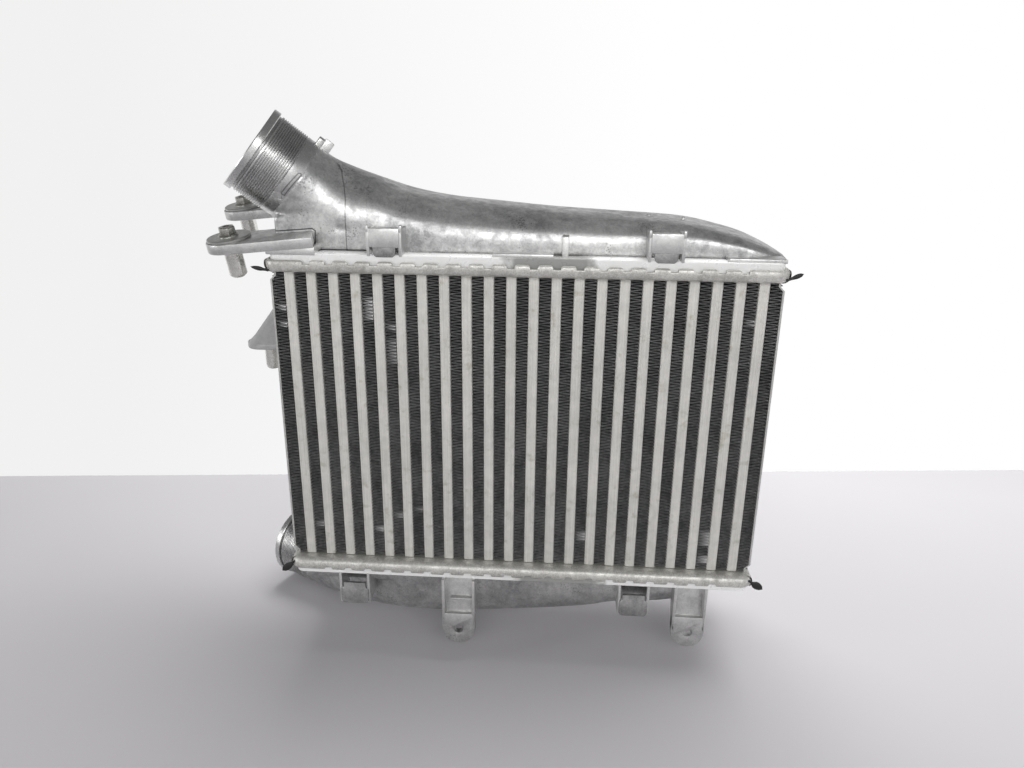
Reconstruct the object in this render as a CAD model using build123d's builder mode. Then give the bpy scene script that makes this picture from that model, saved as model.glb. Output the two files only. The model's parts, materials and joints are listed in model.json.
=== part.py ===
from build123d import *
import os
from math import cos, pi, radians, sin, tan

# Charge-air cooler: a brazed core of flat tubes and folded fins between two cast tanks.
#
# Core frame, in millimetres: X runs across the tubes, Y from the front face to the back and Z up
# the tubes.  X = 0 is the middle of the core, Y = 0 the front noses of the tubes and Z = 0 the
# upper face of the lower header.  Each finished piece is moved from there to the datum, the centre
# of the left lower ear's hole on the front of the ear.

os.makedirs("parts", exist_ok=True)

# Core
tube_count = 22
tube_pitch = 15.0
tube_thickness = 6.9
tube_wall = 0.6
tube_reach = 4.6
core_depth = 100.0
core_height = 216.0
braze_gap = 0.05
fin_folds = 33
fin_sheet = 0.5
turbulator_folds = 7
turbulator_sheet = 0.5

# Side plates, joggled inwards where they meet the headers
side_sheet = 1.3
joggle_depth = 3.0
joggle_rise = 3.0
joggle_foot = 3.0
fin_clearance = 0.5

# Header pans, crimped over the feet of the tanks
header_sheet = 1.6
header_depth = 9.0
header_end_margin = 3.0
header_side_margin = 9.0
header_corner = 9.0
header_shoulder = 3.0
crimp_lip = 1.5
crimp_sheet = 1.3
crimp_notch = 5.0
crimp_notch_depth = 2.6

# Gaskets with pull tabs
gasket_width = 5.2
gasket_thickness = 3.0
pull_neck = 2.0
pull_reach = 4.0
pull_length = 11.0
pull_width = 5.0
pull_inset = 9.0
window_clearance = 0.5

# Tank feet and walls
fit_clearance = 0.3
foot_height = 8.4
foot_roof = 3.0
foot_wall = 5.4
band_inset = 1.6
tank_wall = 3.5
body_inset = 8.0
foot_sink = 1.0
foot_room_corner = 2.0
end_margin = 3.0
end_length = 70.0
upper_end_height = 18.0
lower_end_height = 14.0
end_corner = 14.0
end_round = 5.0
arch_steps = 8

# Hose necks
neck_radius = 29.2
neck_length = 40.0
neck_blend = 12.0
neck_step = 0.3
lip_radius = 30.5
lip_length = 5.0
groove_radius = 27.8
groove_length = 2.4

# Mounting ears on the lower tank
ear_width = 25.0
ear_hole = 6.6
ear_thickness = 6.0
ear_rib = 2.4
ear_tab = 13.0
ear_bar = 2.0
ear_bar_lift = 24.6

# Arms, pins, washers and bolts on the upper tank
arm_width = 31.0
arm_thickness = 6.9
arm_root_relief = 2.0
pin_diameter = 12.0
pin_length = 17.6
pin_chamfer = 1.5
washer_diameter = 29.0
washer_thickness = 2.0
bolt_diameter = 6.0
bolt_clearance = 0.6
bolt_length = 20.0
pin_thread_spare = 1.0
bolt_flats = 10.0
bolt_head = 5.0
bolt_flange = 13.6
bolt_flange_thickness = 1.4
thread_clearance = 0.1

# Side bracket and its pin
bracket_drop = 72.5
bracket_height = 57.0
bracket_reach = 40.0
bracket_width = 22.0
bracket_sheet = 5.0
bracket_back = 2.6
side_pin_diameter = 10.5
side_pin_length = 15.0
side_pin_reach = 22.5
spigot_diameter = 6.0

# Clip loops cast on the front of the tanks
loop_width = 22.0
loop_rib = 2.4
loop_plate = 2.6
loop_stand = 1.5
loop_root = 7.0
loop_tongue = 15.0
loop_tongue_sheet = 2.0
upper_loop_lift = 5.0
upper_loop_height = 12.5
lower_loop_lift = 7.0
lower_loop_height = 18.0

# Cast details on the tanks: a rib and pads on the front, and a lug on top of the upper neck
front_rib_width = 4.5
front_rib_height = 13.0
front_rib_stand = 4.0
pad_height = 2.2
pad_stand = 1.5
lug_width = 8.0
lug_length = 9.0
lug_height = 5.5
lug_step = 3.0
lug_setback = 45.0

# Values worked out from the sizes above
fin_height = tube_pitch - tube_thickness
core_half = (tube_count * tube_pitch + fin_height) / 2
core_middle = core_depth / 2
joggle_length = joggle_foot + joggle_rise
fin_stop = joggle_length + fin_clearance
header_length = 2 * (core_half + header_end_margin)
header_width = core_depth + 2 * header_side_margin
pan_length = header_length - 2 * header_sheet
pan_width = header_width - 2 * header_sheet
foot_length = pan_length - 2 * fit_clearance
foot_width = pan_width - 2 * fit_clearance
foot_corner = header_corner - header_sheet - fit_clearance
header_top = core_height + header_depth
gasket_base = core_height + header_sheet
foot_base = gasket_base + gasket_thickness
foot_top = foot_base + foot_height
body_half_width = core_middle - body_inset
tube_places = [(i - (tube_count - 1) / 2) * tube_pitch for i in range(tube_count)]
fin_places = [(i - tube_count / 2) * tube_pitch for i in range(tube_count + 1)]
mirror_plane = Plane.XY.offset(core_height / 2)

# Places on the tanks.  The lower tank is drawn above the core like the upper one and mirrored down,
# so its heights are measured up from the mirrored foot.
upper_mouth = (-184.9, 22.0, core_height + 78.7)
upper_neck_turn = 20.0
upper_neck_rise = 38.3
lower_mouth = (-206.3, 110.0, core_height + 52.8)
lower_neck_turn = -28.0
lower_neck_rise = -3.0
ear_places = [(-44.5, -10.0, 54.8), (129.5, -1.0, 54.8)]
arm_places = [(-198.0, 5.5), (-222.0, 95.0)]
arm_height = core_height + 20.0
arm_lean = 6.0
arm_pitch = 8.5
arm_root = -138.0
arm_block = 30.0
upper_loop_places = [-90.5, 92.0]
lower_loop_places = [-124.0, 86.5]
front_rib_place = 27.5
upper_pads = [(0.0, 40.0), (150.5, 37.0)]
bracket_base = core_height - bracket_drop
datum = (ear_places[0][0], ear_places[0][1], -ear_places[0][2])


def folded_outline(width, length, folds, sheet):
    """Corners of a folded sheet: along one face of the folds and back along the other."""
    step = length / folds
    bend = sheet * width / (2 * step)
    tips = [((-1) ** i * width / 2, i * step) for i in range(folds + 1)]
    roots = [((-1) ** i * (width / 2 - bend), i * step) for i in range(folds + 1)]
    face = [tips[i] if i % 2 else roots[i] for i in range(folds + 1)]
    back = [roots[i] if i % 2 else tips[i] for i in range(folds + 1)]
    return face + back[::-1] + face[:1]


def place(piece, name):
    """Move a finished piece from the core frame to the datum, label it and write it."""
    placed = piece.part.moved(Location(tuple(-value for value in datum)))
    placed.label = name
    export_step(placed, f"parts/{name}.step")


# Flat tubes, open at both ends
def flat_tube(x):
    with BuildPart() as tube:
        with BuildSketch(Plane(origin=(x, core_middle, -tube_reach))):
            SlotOverall(core_depth, tube_thickness, rotation=90)
            SlotOverall(core_depth - 2 * tube_wall, tube_thickness - 2 * tube_wall, rotation=90,
                        mode=Mode.SUBTRACT)
        extrude(amount=core_height + 2 * tube_reach)
    return tube


# Folded fin strips, brazed between the tubes
def fin_strip(x):
    base = Plane(origin=(x, 0, fin_stop), x_dir=(1, 0, 0), z_dir=(0, -1, 0))
    with BuildPart() as strip:
        with BuildSketch(base):
            with BuildLine():
                Polyline(*folded_outline(fin_height - 2 * braze_gap, core_height - 2 * fin_stop,
                                         fin_folds, fin_sheet))
            make_face()
        extrude(amount=-core_depth)
    return strip


for number, x in enumerate(tube_places, start=1):
    place(flat_tube(x), f"tube_{number:02d}")
for number, x in enumerate(fin_places, start=1):
    place(fin_strip(x), f"fin_strip_{number:02d}")

# Turbulators, one folded strip inside each tube
turbulator_width = tube_thickness - 2 * tube_wall - 2 * braze_gap
turbulator_depth = core_depth - tube_thickness
with BuildSketch() as turbulator_fold:
    with BuildLine():
        Polyline(*folded_outline(turbulator_width, turbulator_depth, turbulator_folds,
                                 turbulator_sheet))
    make_face()
with BuildPart() as turbulators:
    with BuildSketch():
        with Locations(*[(x, (core_depth - turbulator_depth) / 2) for x in tube_places]):
            add(turbulator_fold.sketch)
    extrude(amount=core_height)
place(turbulators, "turbulators")


# Side plates
def side_plate(side):
    inner = core_half + braze_gap
    path = [(inner - joggle_depth, 0), (inner - joggle_depth, joggle_foot),
            (inner, joggle_length), (inner, core_height - joggle_length),
            (inner - joggle_depth, core_height - joggle_foot), (inner - joggle_depth, core_height)]
    outer = [(x + side_sheet, z) for x, z in reversed(path)]
    base = Plane(origin=(0, 0, 0), x_dir=(1, 0, 0), z_dir=(0, -1, 0))
    with BuildPart() as plate:
        with BuildSketch(base):
            with BuildLine():
                Polyline(*[(side * x, z) for x, z in path + outer + path[:1]])
            make_face()
        extrude(amount=-core_depth)
    return plate


place(side_plate(-1), "side_plate_left")
place(side_plate(1), "side_plate_right")

# Upper header: a pan with a slot for each tube and a rim of crimp tabs
with BuildPart() as upper_header:
    with BuildSketch(Plane((0, core_middle, core_height))):
        RectangleRounded(header_length, header_width, header_corner)
    extrude(amount=header_depth)
    fillet(upper_header.edges().group_by(Axis.Z)[0], header_shoulder)
    with BuildSketch(Plane((0, core_middle, gasket_base))):
        RectangleRounded(pan_length, pan_width, header_corner - header_sheet)
    extrude(amount=header_depth - header_sheet - crimp_sheet, mode=Mode.SUBTRACT)
    with BuildSketch(Plane((0, core_middle, header_top - crimp_sheet))):
        RectangleRounded(pan_length - 2 * crimp_lip, pan_width - 2 * crimp_lip,
                         header_corner - header_sheet - crimp_lip)
    extrude(amount=crimp_sheet, mode=Mode.SUBTRACT)
    with BuildSketch(Plane((0, core_middle, core_height))):
        with Locations(*[(x, 0) for x in tube_places]):
            SlotOverall(core_depth + 2 * braze_gap, tube_thickness + 2 * braze_gap, rotation=90)
    extrude(amount=header_sheet, mode=Mode.SUBTRACT)
    with BuildSketch(Plane((0, core_middle, header_top))):
        with Locations(*[(x, 0) for x in tube_places[1:-1]]):
            Rectangle(crimp_notch, header_width)
        with GridLocations(0, core_depth / 3, 1, 4):
            Rectangle(header_length, crimp_notch)
    extrude(amount=-crimp_notch_depth, mode=Mode.SUBTRACT)
    window = pull_neck + 2 * window_clearance
    with Locations((0, pull_inset - header_side_margin, gasket_base + window / 2)):
        Box(header_length, window, window, mode=Mode.SUBTRACT)
place(upper_header, "upper_header")

with BuildPart() as lower_header:
    mirror(upper_header.part, about=mirror_plane)
place(lower_header, "lower_header")

# Upper gasket: a rubber ring with a pull tab at each front corner
with BuildPart() as upper_gasket:
    with BuildSketch(Plane((0, core_middle, gasket_base))):
        RectangleRounded(foot_length, foot_width, foot_corner)
        RectangleRounded(foot_length - 2 * gasket_width, foot_width - 2 * gasket_width,
                         foot_corner - gasket_width / 2, mode=Mode.SUBTRACT)
    extrude(amount=gasket_thickness)
    for side in (-1, 1):
        neck_middle = side * (foot_length / 2 + pull_reach / 2)
        paddle_middle = side * (foot_length / 2 + pull_reach + pull_length / 2)
        with Locations((neck_middle, pull_inset - header_side_margin,
                        gasket_base + window_clearance + pull_neck / 2)):
            Box(pull_reach + 2 * pull_neck, pull_neck, pull_neck)
        with BuildSketch(Plane((paddle_middle, pull_inset - header_side_margin,
                                gasket_base + window_clearance))):
            SlotOverall(pull_length, pull_width)
        extrude(amount=pull_neck)
place(upper_gasket, "upper_gasket")

with BuildPart() as lower_gasket:
    mirror(upper_gasket.part, about=mirror_plane)
place(lower_gasket, "lower_gasket")


# Cast tanks.  A tank is one loft of closed sections, from its low right end to the round neck.  A
# section is an arch across the flow over a flat or a round underside.  The flow runs to the left,
# turned towards the front by one angle and raised by another.
def flow_plane(origin, turn, rise):
    heading = (-cos(radians(rise)) * cos(radians(turn)), -cos(radians(rise)) * sin(radians(turn)),
               sin(radians(rise)))
    return Plane(origin=origin, x_dir=(sin(radians(turn)), -cos(radians(turn)), 0), z_dir=heading)


def arch_points(half_width, height, power):
    """Points of half a super-ellipse, from one springing over the crown to the other."""
    points = []
    for i in range(arch_steps + 1):
        across, up = cos(pi * i / arch_steps), sin(pi * i / arch_steps)
        reach = (abs(across) ** power + abs(up) ** power) ** (-1 / power)
        points.append((half_width * reach * across, height * reach * up))
    return [(half_width, 0)] + points[1:-1] + [(-half_width, 0)]


def section_edges(half_width, height, power, under):
    """Closed outline of a section: its arch, and its underside of a given depth."""
    with BuildLine() as outline:
        Spline(*arch_points(half_width, height, power))
        Spline(*[(-x, -y) for x, y in arch_points(half_width, under, 2)])
    return outline.line.edges()


def tank_form(rows, bends, inset, sink):
    """Loft through a tank's sections and bends, drawn in by an inset and sunk into the foot."""
    with BuildPart() as form:
        for x, height, half_width, power in rows:
            if height > 2 * inset:
                with BuildSketch(flow_plane((x, core_middle, foot_top - sink), 0, 0)):
                    make_face(section_edges(half_width - inset, height + sink - inset, power, 0))
        for origin, turn, rise, half_width, height, under in bends:
            with BuildSketch(flow_plane(origin, turn, rise)):
                make_face(section_edges(half_width - inset, height - inset, 2, under - inset))
        loft()
    return form


def neck_outside(mouth):
    """Neck of a hose, from its mouth inwards: a lip, a groove and a plain land."""
    land_length = neck_length - lip_length - groove_length
    with BuildPart() as neck:
        with BuildSketch(mouth):
            Circle(lip_radius)
        extrude(amount=-lip_length)
        with BuildSketch(mouth.offset(-lip_length)):
            Circle(groove_radius)
        extrude(amount=-groove_length)
        with BuildSketch(mouth.offset(-lip_length - groove_length)):
            Circle(neck_radius)
        extrude(amount=-land_length)
    return neck


def tank_foot():
    """Solid foot: a wide base under the crimp lips and a narrower machined band above them."""
    base_height = header_top - crimp_sheet - foot_base
    with BuildPart() as foot:
        with BuildSketch(Plane((0, core_middle, foot_base))):
            RectangleRounded(foot_length, foot_width, foot_corner)
        extrude(amount=base_height)
        with BuildSketch(Plane((0, core_middle, foot_base + base_height))):
            RectangleRounded(foot_length - 2 * band_inset, foot_width - 2 * band_inset,
                             foot_corner - band_inset)
        extrude(amount=foot_height - base_height)
    return foot


def foot_cavity():
    """Room over the tube ends inside a foot, open below."""
    with BuildPart() as cavity:
        with BuildSketch(Plane((0, core_middle, foot_base))):
            RectangleRounded(foot_length - 2 * foot_wall, foot_width - 2 * foot_wall,
                             foot_room_corner)
        extrude(amount=foot_height - foot_roof)
    return cavity


def end_block(height, inset, sink):
    """Low left end of a tank, under its neck, drawn in by an inset for the cavity."""
    left = end_margin + inset - foot_length / 2
    length = end_length - inset
    with BuildPart() as block:
        with BuildSketch(Plane((left + length / 2, core_middle, foot_top - sink))):
            RectangleRounded(length, 2 * (body_half_width - inset), end_corner - inset)
        extrude(amount=height + sink - inset)
        fillet(block.edges().group_by(Axis.Z)[-1], end_round - inset / 2)
    return block


def clip_loop(x, base, height):
    """Solid with two ribs that carry a plate off the front wall, with room for a clip behind."""
    front = band_front - loop_stand
    depth = body_inset + loop_root - front
    rib_height = base + height - foot_top + foot_sink
    with BuildPart() as loop:
        with Locations(*[(x + side * (loop_width - loop_rib) / 2, front + depth / 2,
                          foot_top - foot_sink + rib_height / 2) for side in (-1, 1)]):
            Box(loop_rib, depth, rib_height)
        with Locations((x, front + loop_plate / 2, base + height / 2)):
            Box(loop_width, loop_plate, height)
        tongue_base = foot_top - foot_sink
        with Locations((x, front + loop_stand, tongue_base)):
            Box(loop_tongue, loop_tongue_sheet, base - tongue_base + loop_plate,
                align=(Align.CENTER, Align.MIN, Align.MIN))
    return loop


def front_rib(x):
    """Upright rib that leans back from the foot into the front wall."""
    wall = body_inset + loop_root
    with BuildPart() as rib:
        with BuildSketch(Plane(origin=(x, 0, 0), x_dir=(0, 1, 0), z_dir=(1, 0, 0))):
            with BuildLine():
                Polyline((body_inset - front_rib_stand, foot_top - foot_sink),
                         (body_inset - front_rib_stand / 2, foot_top + front_rib_height),
                         (wall, foot_top + front_rib_height), (wall, foot_top - foot_sink),
                         (body_inset - front_rib_stand, foot_top - foot_sink))
            make_face()
        extrude(amount=front_rib_width / 2, both=True)
    return rib


def pad(x, length):
    """Low bar along the front edge of the foot's upper face."""
    front = band_front + pad_stand
    with BuildPart() as bar:
        with Locations((x, front, foot_top - foot_sink)):
            Box(length, body_inset + loop_root - front, foot_sink + pad_height,
                align=(Align.CENTER, Align.MIN, Align.MIN))
    return bar


def neck_lug(mouth):
    """Stepped block on the crown of a neck's root, for a hose clamp's tail."""
    seat = mouth.offset(-lug_setback)
    crown = seat.origin - seat.y_dir * (neck_radius - foot_sink)
    if seat.y_dir.Z > 0:
        crown = seat.origin + seat.y_dir * (neck_radius - foot_sink)
    lug_plane = Plane(origin=crown, x_dir=seat.x_dir, z_dir=seat.z_dir)
    up = lug_height + foot_sink
    side = 1 if seat.y_dir.Z > 0 else -1
    with BuildPart() as lug:
        with BuildSketch(lug_plane):
            with Locations((0, side * up / 2)):
                Rectangle(lug_width, up)
        extrude(amount=-lug_length)
        with BuildSketch(lug_plane):
            with Locations((lug_width / 2, side * (up - lug_step) / 2)):
                Rectangle(lug_width, up - lug_step)
        extrude(amount=-lug_length / 2)
    return lug


def tank(rows, elbow, mouth, turn, rise, end_height, extras):
    """A cast tank with its foot, body, end, neck and extras, hollowed out after they are joined."""
    outlet = flow_plane(mouth, turn, rise)
    bends = [elbow]
    for depth, radius in ((neck_length + neck_blend, neck_radius + neck_step),
                          (neck_length, neck_radius - neck_step)):
        bends.append((tuple(outlet.offset(-depth).origin), turn, rise, radius, radius, radius))
    with BuildPart() as hollow:
        add(tank_form(rows, bends, tank_wall, foot_roof + foot_sink).part)
        add(end_block(end_height, tank_wall, foot_roof + foot_sink).part)
        add(foot_cavity().part)
        with BuildSketch(outlet):
            Circle(neck_radius - tank_wall)
        extrude(amount=-neck_length - foot_sink)
    with BuildPart() as casting:
        add(tank_foot().part)
        add(tank_form(rows, bends, 0, foot_sink).part)
        add(end_block(end_height, 0, foot_sink).part)
        add(neck_outside(outlet).part)
        for extra in extras:
            add(extra.part)
        add(hollow.part, mode=Mode.SUBTRACT)
    return casting


band_front = header_sheet + fit_clearance + band_inset - header_side_margin

# Upper tank.  Its arms lie in one plane that leans to the left and rises to the back.
upper_rows = [(173.0, 2.0, 36.0, 3.0), (155.0, 10.5, 41.0, 3.2), (136.0, 16.0, 42.0, 3.4),
              (109.0, 21.5, 42.0, 3.4), (62.0, 24.5, 42.0, 3.0), (20.0, 27.8, 42.0, 2.6),
              (-20.0, 31.5, 42.0, 2.4), (-58.0, 35.5, 42.0, 2.3), (-92.0, 43.0, 41.0, 2.2)]
upper_elbow = ((-128.0, 42.0, core_height + 34.0), 10.0, 19.0, 38.0, 31.0, 20.0)


def arm_plane(x, y):
    """Plane of an arm's upper face at a pin, whose axis is the plane's normal."""
    lean, pitch = tan(radians(arm_lean)), tan(radians(arm_pitch))
    first_x, first_y = arm_places[0]
    height = arm_height + lean * (x - first_x) + pitch * (y - first_y)
    return Plane(origin=(x, y, height), x_dir=(1, 0, lean), z_dir=(-lean, -pitch, 1))


def arm(x, y):
    """Flat arm with a round end and the root block that carries it on the foot."""
    top = arm_plane(x, y)
    root_top = arm_plane(arm_root - arm_width / 2, y).origin.Z - arm_thickness / 2
    with BuildPart() as bar:
        with BuildSketch(top):
            Circle(arm_width / 2)
            Rectangle(arm_root - x, arm_width, align=(Align.MIN, Align.CENTER))
        extrude(amount=-arm_thickness)
        with Locations((arm_root, y, foot_top - foot_sink)):
            Box(arm_block, arm_width - 2 * arm_root_relief, root_top - foot_top + foot_sink,
                align=(Align.MAX, Align.CENTER, Align.MIN))
        with BuildSketch(top):
            Circle((bolt_diameter + bolt_clearance) / 2)
        extrude(amount=-arm_thickness, mode=Mode.SUBTRACT)
    return bar


upper_extras = [arm(x, y) for x, y in arm_places]
upper_extras += [clip_loop(x, foot_top + upper_loop_lift, upper_loop_height)
                 for x in upper_loop_places]
upper_extras += [pad(x, length) for x, length in upper_pads]
upper_extras += [front_rib(front_rib_place),
                 neck_lug(flow_plane(upper_mouth, upper_neck_turn, upper_neck_rise))]
upper_tank = tank(upper_rows, upper_elbow, upper_mouth, upper_neck_turn, upper_neck_rise,
                  upper_end_height, upper_extras)
place(upper_tank, "upper_tank")

# Lower tank, drawn upwards and mirrored down
lower_rows = [(173.0, 2.0, 36.0, 3.0), (150.0, 5.0, 41.0, 3.0), (120.0, 9.0, 42.0, 3.0),
              (92.0, 17.0, 42.0, 2.8), (62.0, 30.0, 42.0, 2.6), (30.0, 38.0, 42.0, 2.6),
              (-20.0, 43.0, 42.0, 2.6), (-60.0, 47.0, 42.0, 2.6), (-95.0, 50.0, 41.0, 2.6)]
lower_elbow = ((-132.0, 66.0, core_height + 39.0), -14.0, -1.5, 38.0, 34.0, 25.0)


def ear(x, y, drop):
    """Mounting ear: a rounded tab with a hole, carried by two ribs off the foot and front wall."""
    centre = core_height + drop
    tab_top = centre - ear_tab
    depth = body_inset + loop_root - y
    with BuildPart() as lug:
        with BuildSketch(Plane(origin=(x, y, centre), x_dir=(1, 0, 0), z_dir=(0, -1, 0))):
            Circle(ear_width / 2)
            Rectangle(ear_width, ear_tab, align=(Align.CENTER, Align.MAX))
            Circle(ear_hole / 2, mode=Mode.SUBTRACT)
        extrude(amount=-ear_thickness)
        rib_side = Plane(origin=(x - ear_width / 2, 0, 0), x_dir=(0, 1, 0), z_dir=(1, 0, 0))
        with BuildSketch(rib_side, rib_side.offset(ear_width - ear_rib)):
            with BuildLine():
                Polyline((y, foot_top - foot_sink), (y, centre), (y + ear_thickness, centre),
                         (y + depth, tab_top - ear_tab), (y + depth, foot_top - foot_sink),
                         (y, foot_top - foot_sink))
            make_face()
        extrude(amount=ear_rib)
        with Locations((x, y, centre - ear_bar_lift)):
            Box(ear_width, ear_thickness, ear_bar, align=(Align.CENTER, Align.MIN, Align.CENTER))
    return lug


lower_extras = [ear(x, y, drop) for x, y, drop in ear_places]
lower_extras += [clip_loop(x, foot_top + lower_loop_lift, lower_loop_height)
                 for x in lower_loop_places]
raised_lower_tank = tank(lower_rows, lower_elbow, lower_mouth, lower_neck_turn, lower_neck_rise,
                         lower_end_height, lower_extras)
with BuildPart() as lower_tank:
    mirror(raised_lower_tank.part, about=mirror_plane)
place(lower_tank, "lower_tank")


# Locating pins under the arms, each held by a flange bolt through a washer
def locating_pin(x, y):
    seat = arm_plane(x, y).offset(-arm_thickness)
    thread_depth = bolt_length - washer_thickness - arm_thickness + pin_thread_spare
    with BuildPart() as pin:
        with BuildSketch(seat):
            Circle(pin_diameter / 2)
        extrude(amount=-pin_length)
        chamfer(pin.edges().group_by(Axis(seat.origin, seat.z_dir))[0], pin_chamfer)
        with BuildSketch(seat):
            Circle(bolt_diameter / 2 + thread_clearance)
        extrude(amount=-thread_depth, mode=Mode.SUBTRACT)
    return pin


place(locating_pin(*arm_places[0]), "front_locating_pin")
place(locating_pin(*arm_places[1]), "rear_locating_pin")

with BuildPart() as pin_washers:
    for x, y in arm_places:
        with BuildSketch(arm_plane(x, y)):
            Circle(washer_diameter / 2)
            Circle((bolt_diameter + bolt_clearance) / 2, mode=Mode.SUBTRACT)
        extrude(amount=washer_thickness)
place(pin_washers, "pin_washers")

with BuildPart() as pin_bolts:
    for x, y in arm_places:
        seat = arm_plane(x, y).offset(washer_thickness)
        with BuildSketch(seat):
            Circle(bolt_flange / 2)
        extrude(amount=bolt_flange_thickness)
        with BuildSketch(seat.offset(bolt_flange_thickness)):
            RegularPolygon(bolt_flats / 2, 6, major_radius=False)
        extrude(amount=bolt_head)
        with BuildSketch(seat):
            Circle(bolt_diameter / 2)
        extrude(amount=-bolt_length)
place(pin_bolts, "pin_bolts")

# Side bracket, brazed to the left side plate, and the pin under its shelf
bracket_face = -(core_half + braze_gap + side_sheet)
bracket_side = Plane(origin=(0, core_middle, 0), x_dir=(1, 0, 0), z_dir=(0, -1, 0))
shelf_top = bracket_base + bracket_sheet
pin_middle = bracket_face - side_pin_reach
with BuildPart() as side_bracket:
    with Locations((bracket_face, core_middle, bracket_base)):
        Box(bracket_back, bracket_width, bracket_height, align=(Align.MAX, Align.CENTER, Align.MIN))
        Box(bracket_reach - bracket_width / 2, bracket_width, bracket_sheet,
            align=(Align.MAX, Align.CENTER, Align.MIN))
    with BuildSketch(Plane((bracket_face - bracket_reach + bracket_width / 2, core_middle,
                            bracket_base))):
        Circle(bracket_width / 2)
    extrude(amount=bracket_sheet)
    with BuildSketch(bracket_side):
        with BuildLine():
            Polyline((bracket_face, shelf_top), (bracket_face, bracket_base + bracket_height),
                     (bracket_face - bracket_back, bracket_base + bracket_height),
                     (bracket_face - bracket_reach + bracket_sheet, shelf_top),
                     (bracket_face, shelf_top))
        make_face()
    extrude(amount=bracket_sheet / 2, both=True)
    with BuildSketch(Plane((pin_middle, core_middle, bracket_base))):
        Circle(spigot_diameter / 2 + thread_clearance)
    extrude(amount=bracket_sheet, mode=Mode.SUBTRACT)
place(side_bracket, "side_bracket")

with BuildPart() as side_pin:
    with BuildSketch(Plane((pin_middle, core_middle, bracket_base))):
        Circle(side_pin_diameter / 2)
    extrude(amount=-side_pin_length)
    chamfer(side_pin.edges().group_by(Axis.Z)[0], pin_chamfer)
    with BuildSketch(Plane((pin_middle, core_middle, bracket_base))):
        Circle(spigot_diameter / 2)
    extrude(amount=bracket_sheet)
place(side_pin, "side_pin")
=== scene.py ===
"""Charge-air intercooler: a brazed core of flat tubes and folded fins between two cast tanks.

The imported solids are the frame. The side plates and turbulators keep their solids and get their
finishes here. The rest is modelled again with the detail that the castings, the flat-nosed tubes,
the folded fins, the crimped headers and the turned pins have. Sizes are in millimetres of the core
frame, where X runs across the tubes, Y from the front face to the back and Z up the tubes.
"""

import json
import logging
import math
import random
from dataclasses import dataclass, replace
from enum import Enum
from typing import Sequence

import bpy
from mathutils import Matrix, Vector, noise

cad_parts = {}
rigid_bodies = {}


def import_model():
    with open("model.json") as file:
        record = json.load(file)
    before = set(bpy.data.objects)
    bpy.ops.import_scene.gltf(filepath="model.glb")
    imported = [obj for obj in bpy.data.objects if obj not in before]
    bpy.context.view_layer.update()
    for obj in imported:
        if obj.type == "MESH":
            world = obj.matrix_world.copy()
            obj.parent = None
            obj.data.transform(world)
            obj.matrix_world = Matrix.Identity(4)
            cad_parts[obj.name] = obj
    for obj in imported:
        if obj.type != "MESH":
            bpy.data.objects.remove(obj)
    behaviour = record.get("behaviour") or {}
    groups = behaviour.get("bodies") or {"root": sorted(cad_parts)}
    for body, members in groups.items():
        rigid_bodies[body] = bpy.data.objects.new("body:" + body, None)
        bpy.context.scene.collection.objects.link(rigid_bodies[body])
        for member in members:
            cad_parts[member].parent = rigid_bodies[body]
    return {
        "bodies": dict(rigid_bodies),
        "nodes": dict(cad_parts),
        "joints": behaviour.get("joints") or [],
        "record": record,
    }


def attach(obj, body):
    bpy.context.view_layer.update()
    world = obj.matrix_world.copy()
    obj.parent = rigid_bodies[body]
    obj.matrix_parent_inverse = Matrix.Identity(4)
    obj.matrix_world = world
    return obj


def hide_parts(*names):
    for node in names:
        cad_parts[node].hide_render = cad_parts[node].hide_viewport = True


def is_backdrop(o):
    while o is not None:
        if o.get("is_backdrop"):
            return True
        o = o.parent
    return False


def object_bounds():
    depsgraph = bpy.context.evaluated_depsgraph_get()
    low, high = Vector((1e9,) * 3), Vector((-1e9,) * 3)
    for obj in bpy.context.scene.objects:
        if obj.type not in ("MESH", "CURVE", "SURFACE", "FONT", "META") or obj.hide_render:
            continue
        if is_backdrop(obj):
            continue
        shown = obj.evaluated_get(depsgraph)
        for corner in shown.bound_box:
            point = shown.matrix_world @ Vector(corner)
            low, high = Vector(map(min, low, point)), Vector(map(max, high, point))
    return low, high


LOG = logging.getLogger("intercooler")
MM = 0.001
DATUM = Vector((44.5, 10.0, 54.8))
BODY = "root"
CORE_HEIGHT = 216.0
CORE_MIDDLE = 50.0
TUBE_PITCH = 15.0
TUBE_COUNT = 22
FIN_WIDTH = 7.9
FOOT_TOP = 229.0
FOOT_HALF_LENGTH = 170.15
FOOT_HALF_WIDTH = 57.1
FOOT_CORNER = 7.1
Point = tuple[float, float, float]
# Turns of an outline drawn in X and Y: onto the frame's Y and Z, and onto its X and Z
SIDE_VIEW = Matrix(((0, 0, 1, 0), (1, 0, 0, 0), (0, 1, 0, 0), (0, 0, 0, 1)))
FRONT_VIEW = Matrix(((1, 0, 0, 0), (0, 0, 1, 0), (0, 1, 0, 0), (0, 0, 0, 1)))


def at(x: float, y: float, z: float) -> Vector:
    """Turn a place in core millimetres into one in the frame, in metres."""
    return (Vector((x, y, z)) + DATUM) * MM


def linear(code: str) -> tuple[float, float, float, float]:
    """Turn an sRGB hex value into a linear colour.

    Args:
        code: The colour, as "#rrggbb".

    Returns:
        Red, green, blue and an alpha of 1.
    """
    parts = [int(code[i:i + 2], 16) / 255 for i in (1, 3, 5)]
    red, green, blue = (p / 12.92 if p <= 0.04045 else ((p + 0.055) / 1.055) ** 2.4 for p in parts)
    return red, green, blue, 1.0


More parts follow.
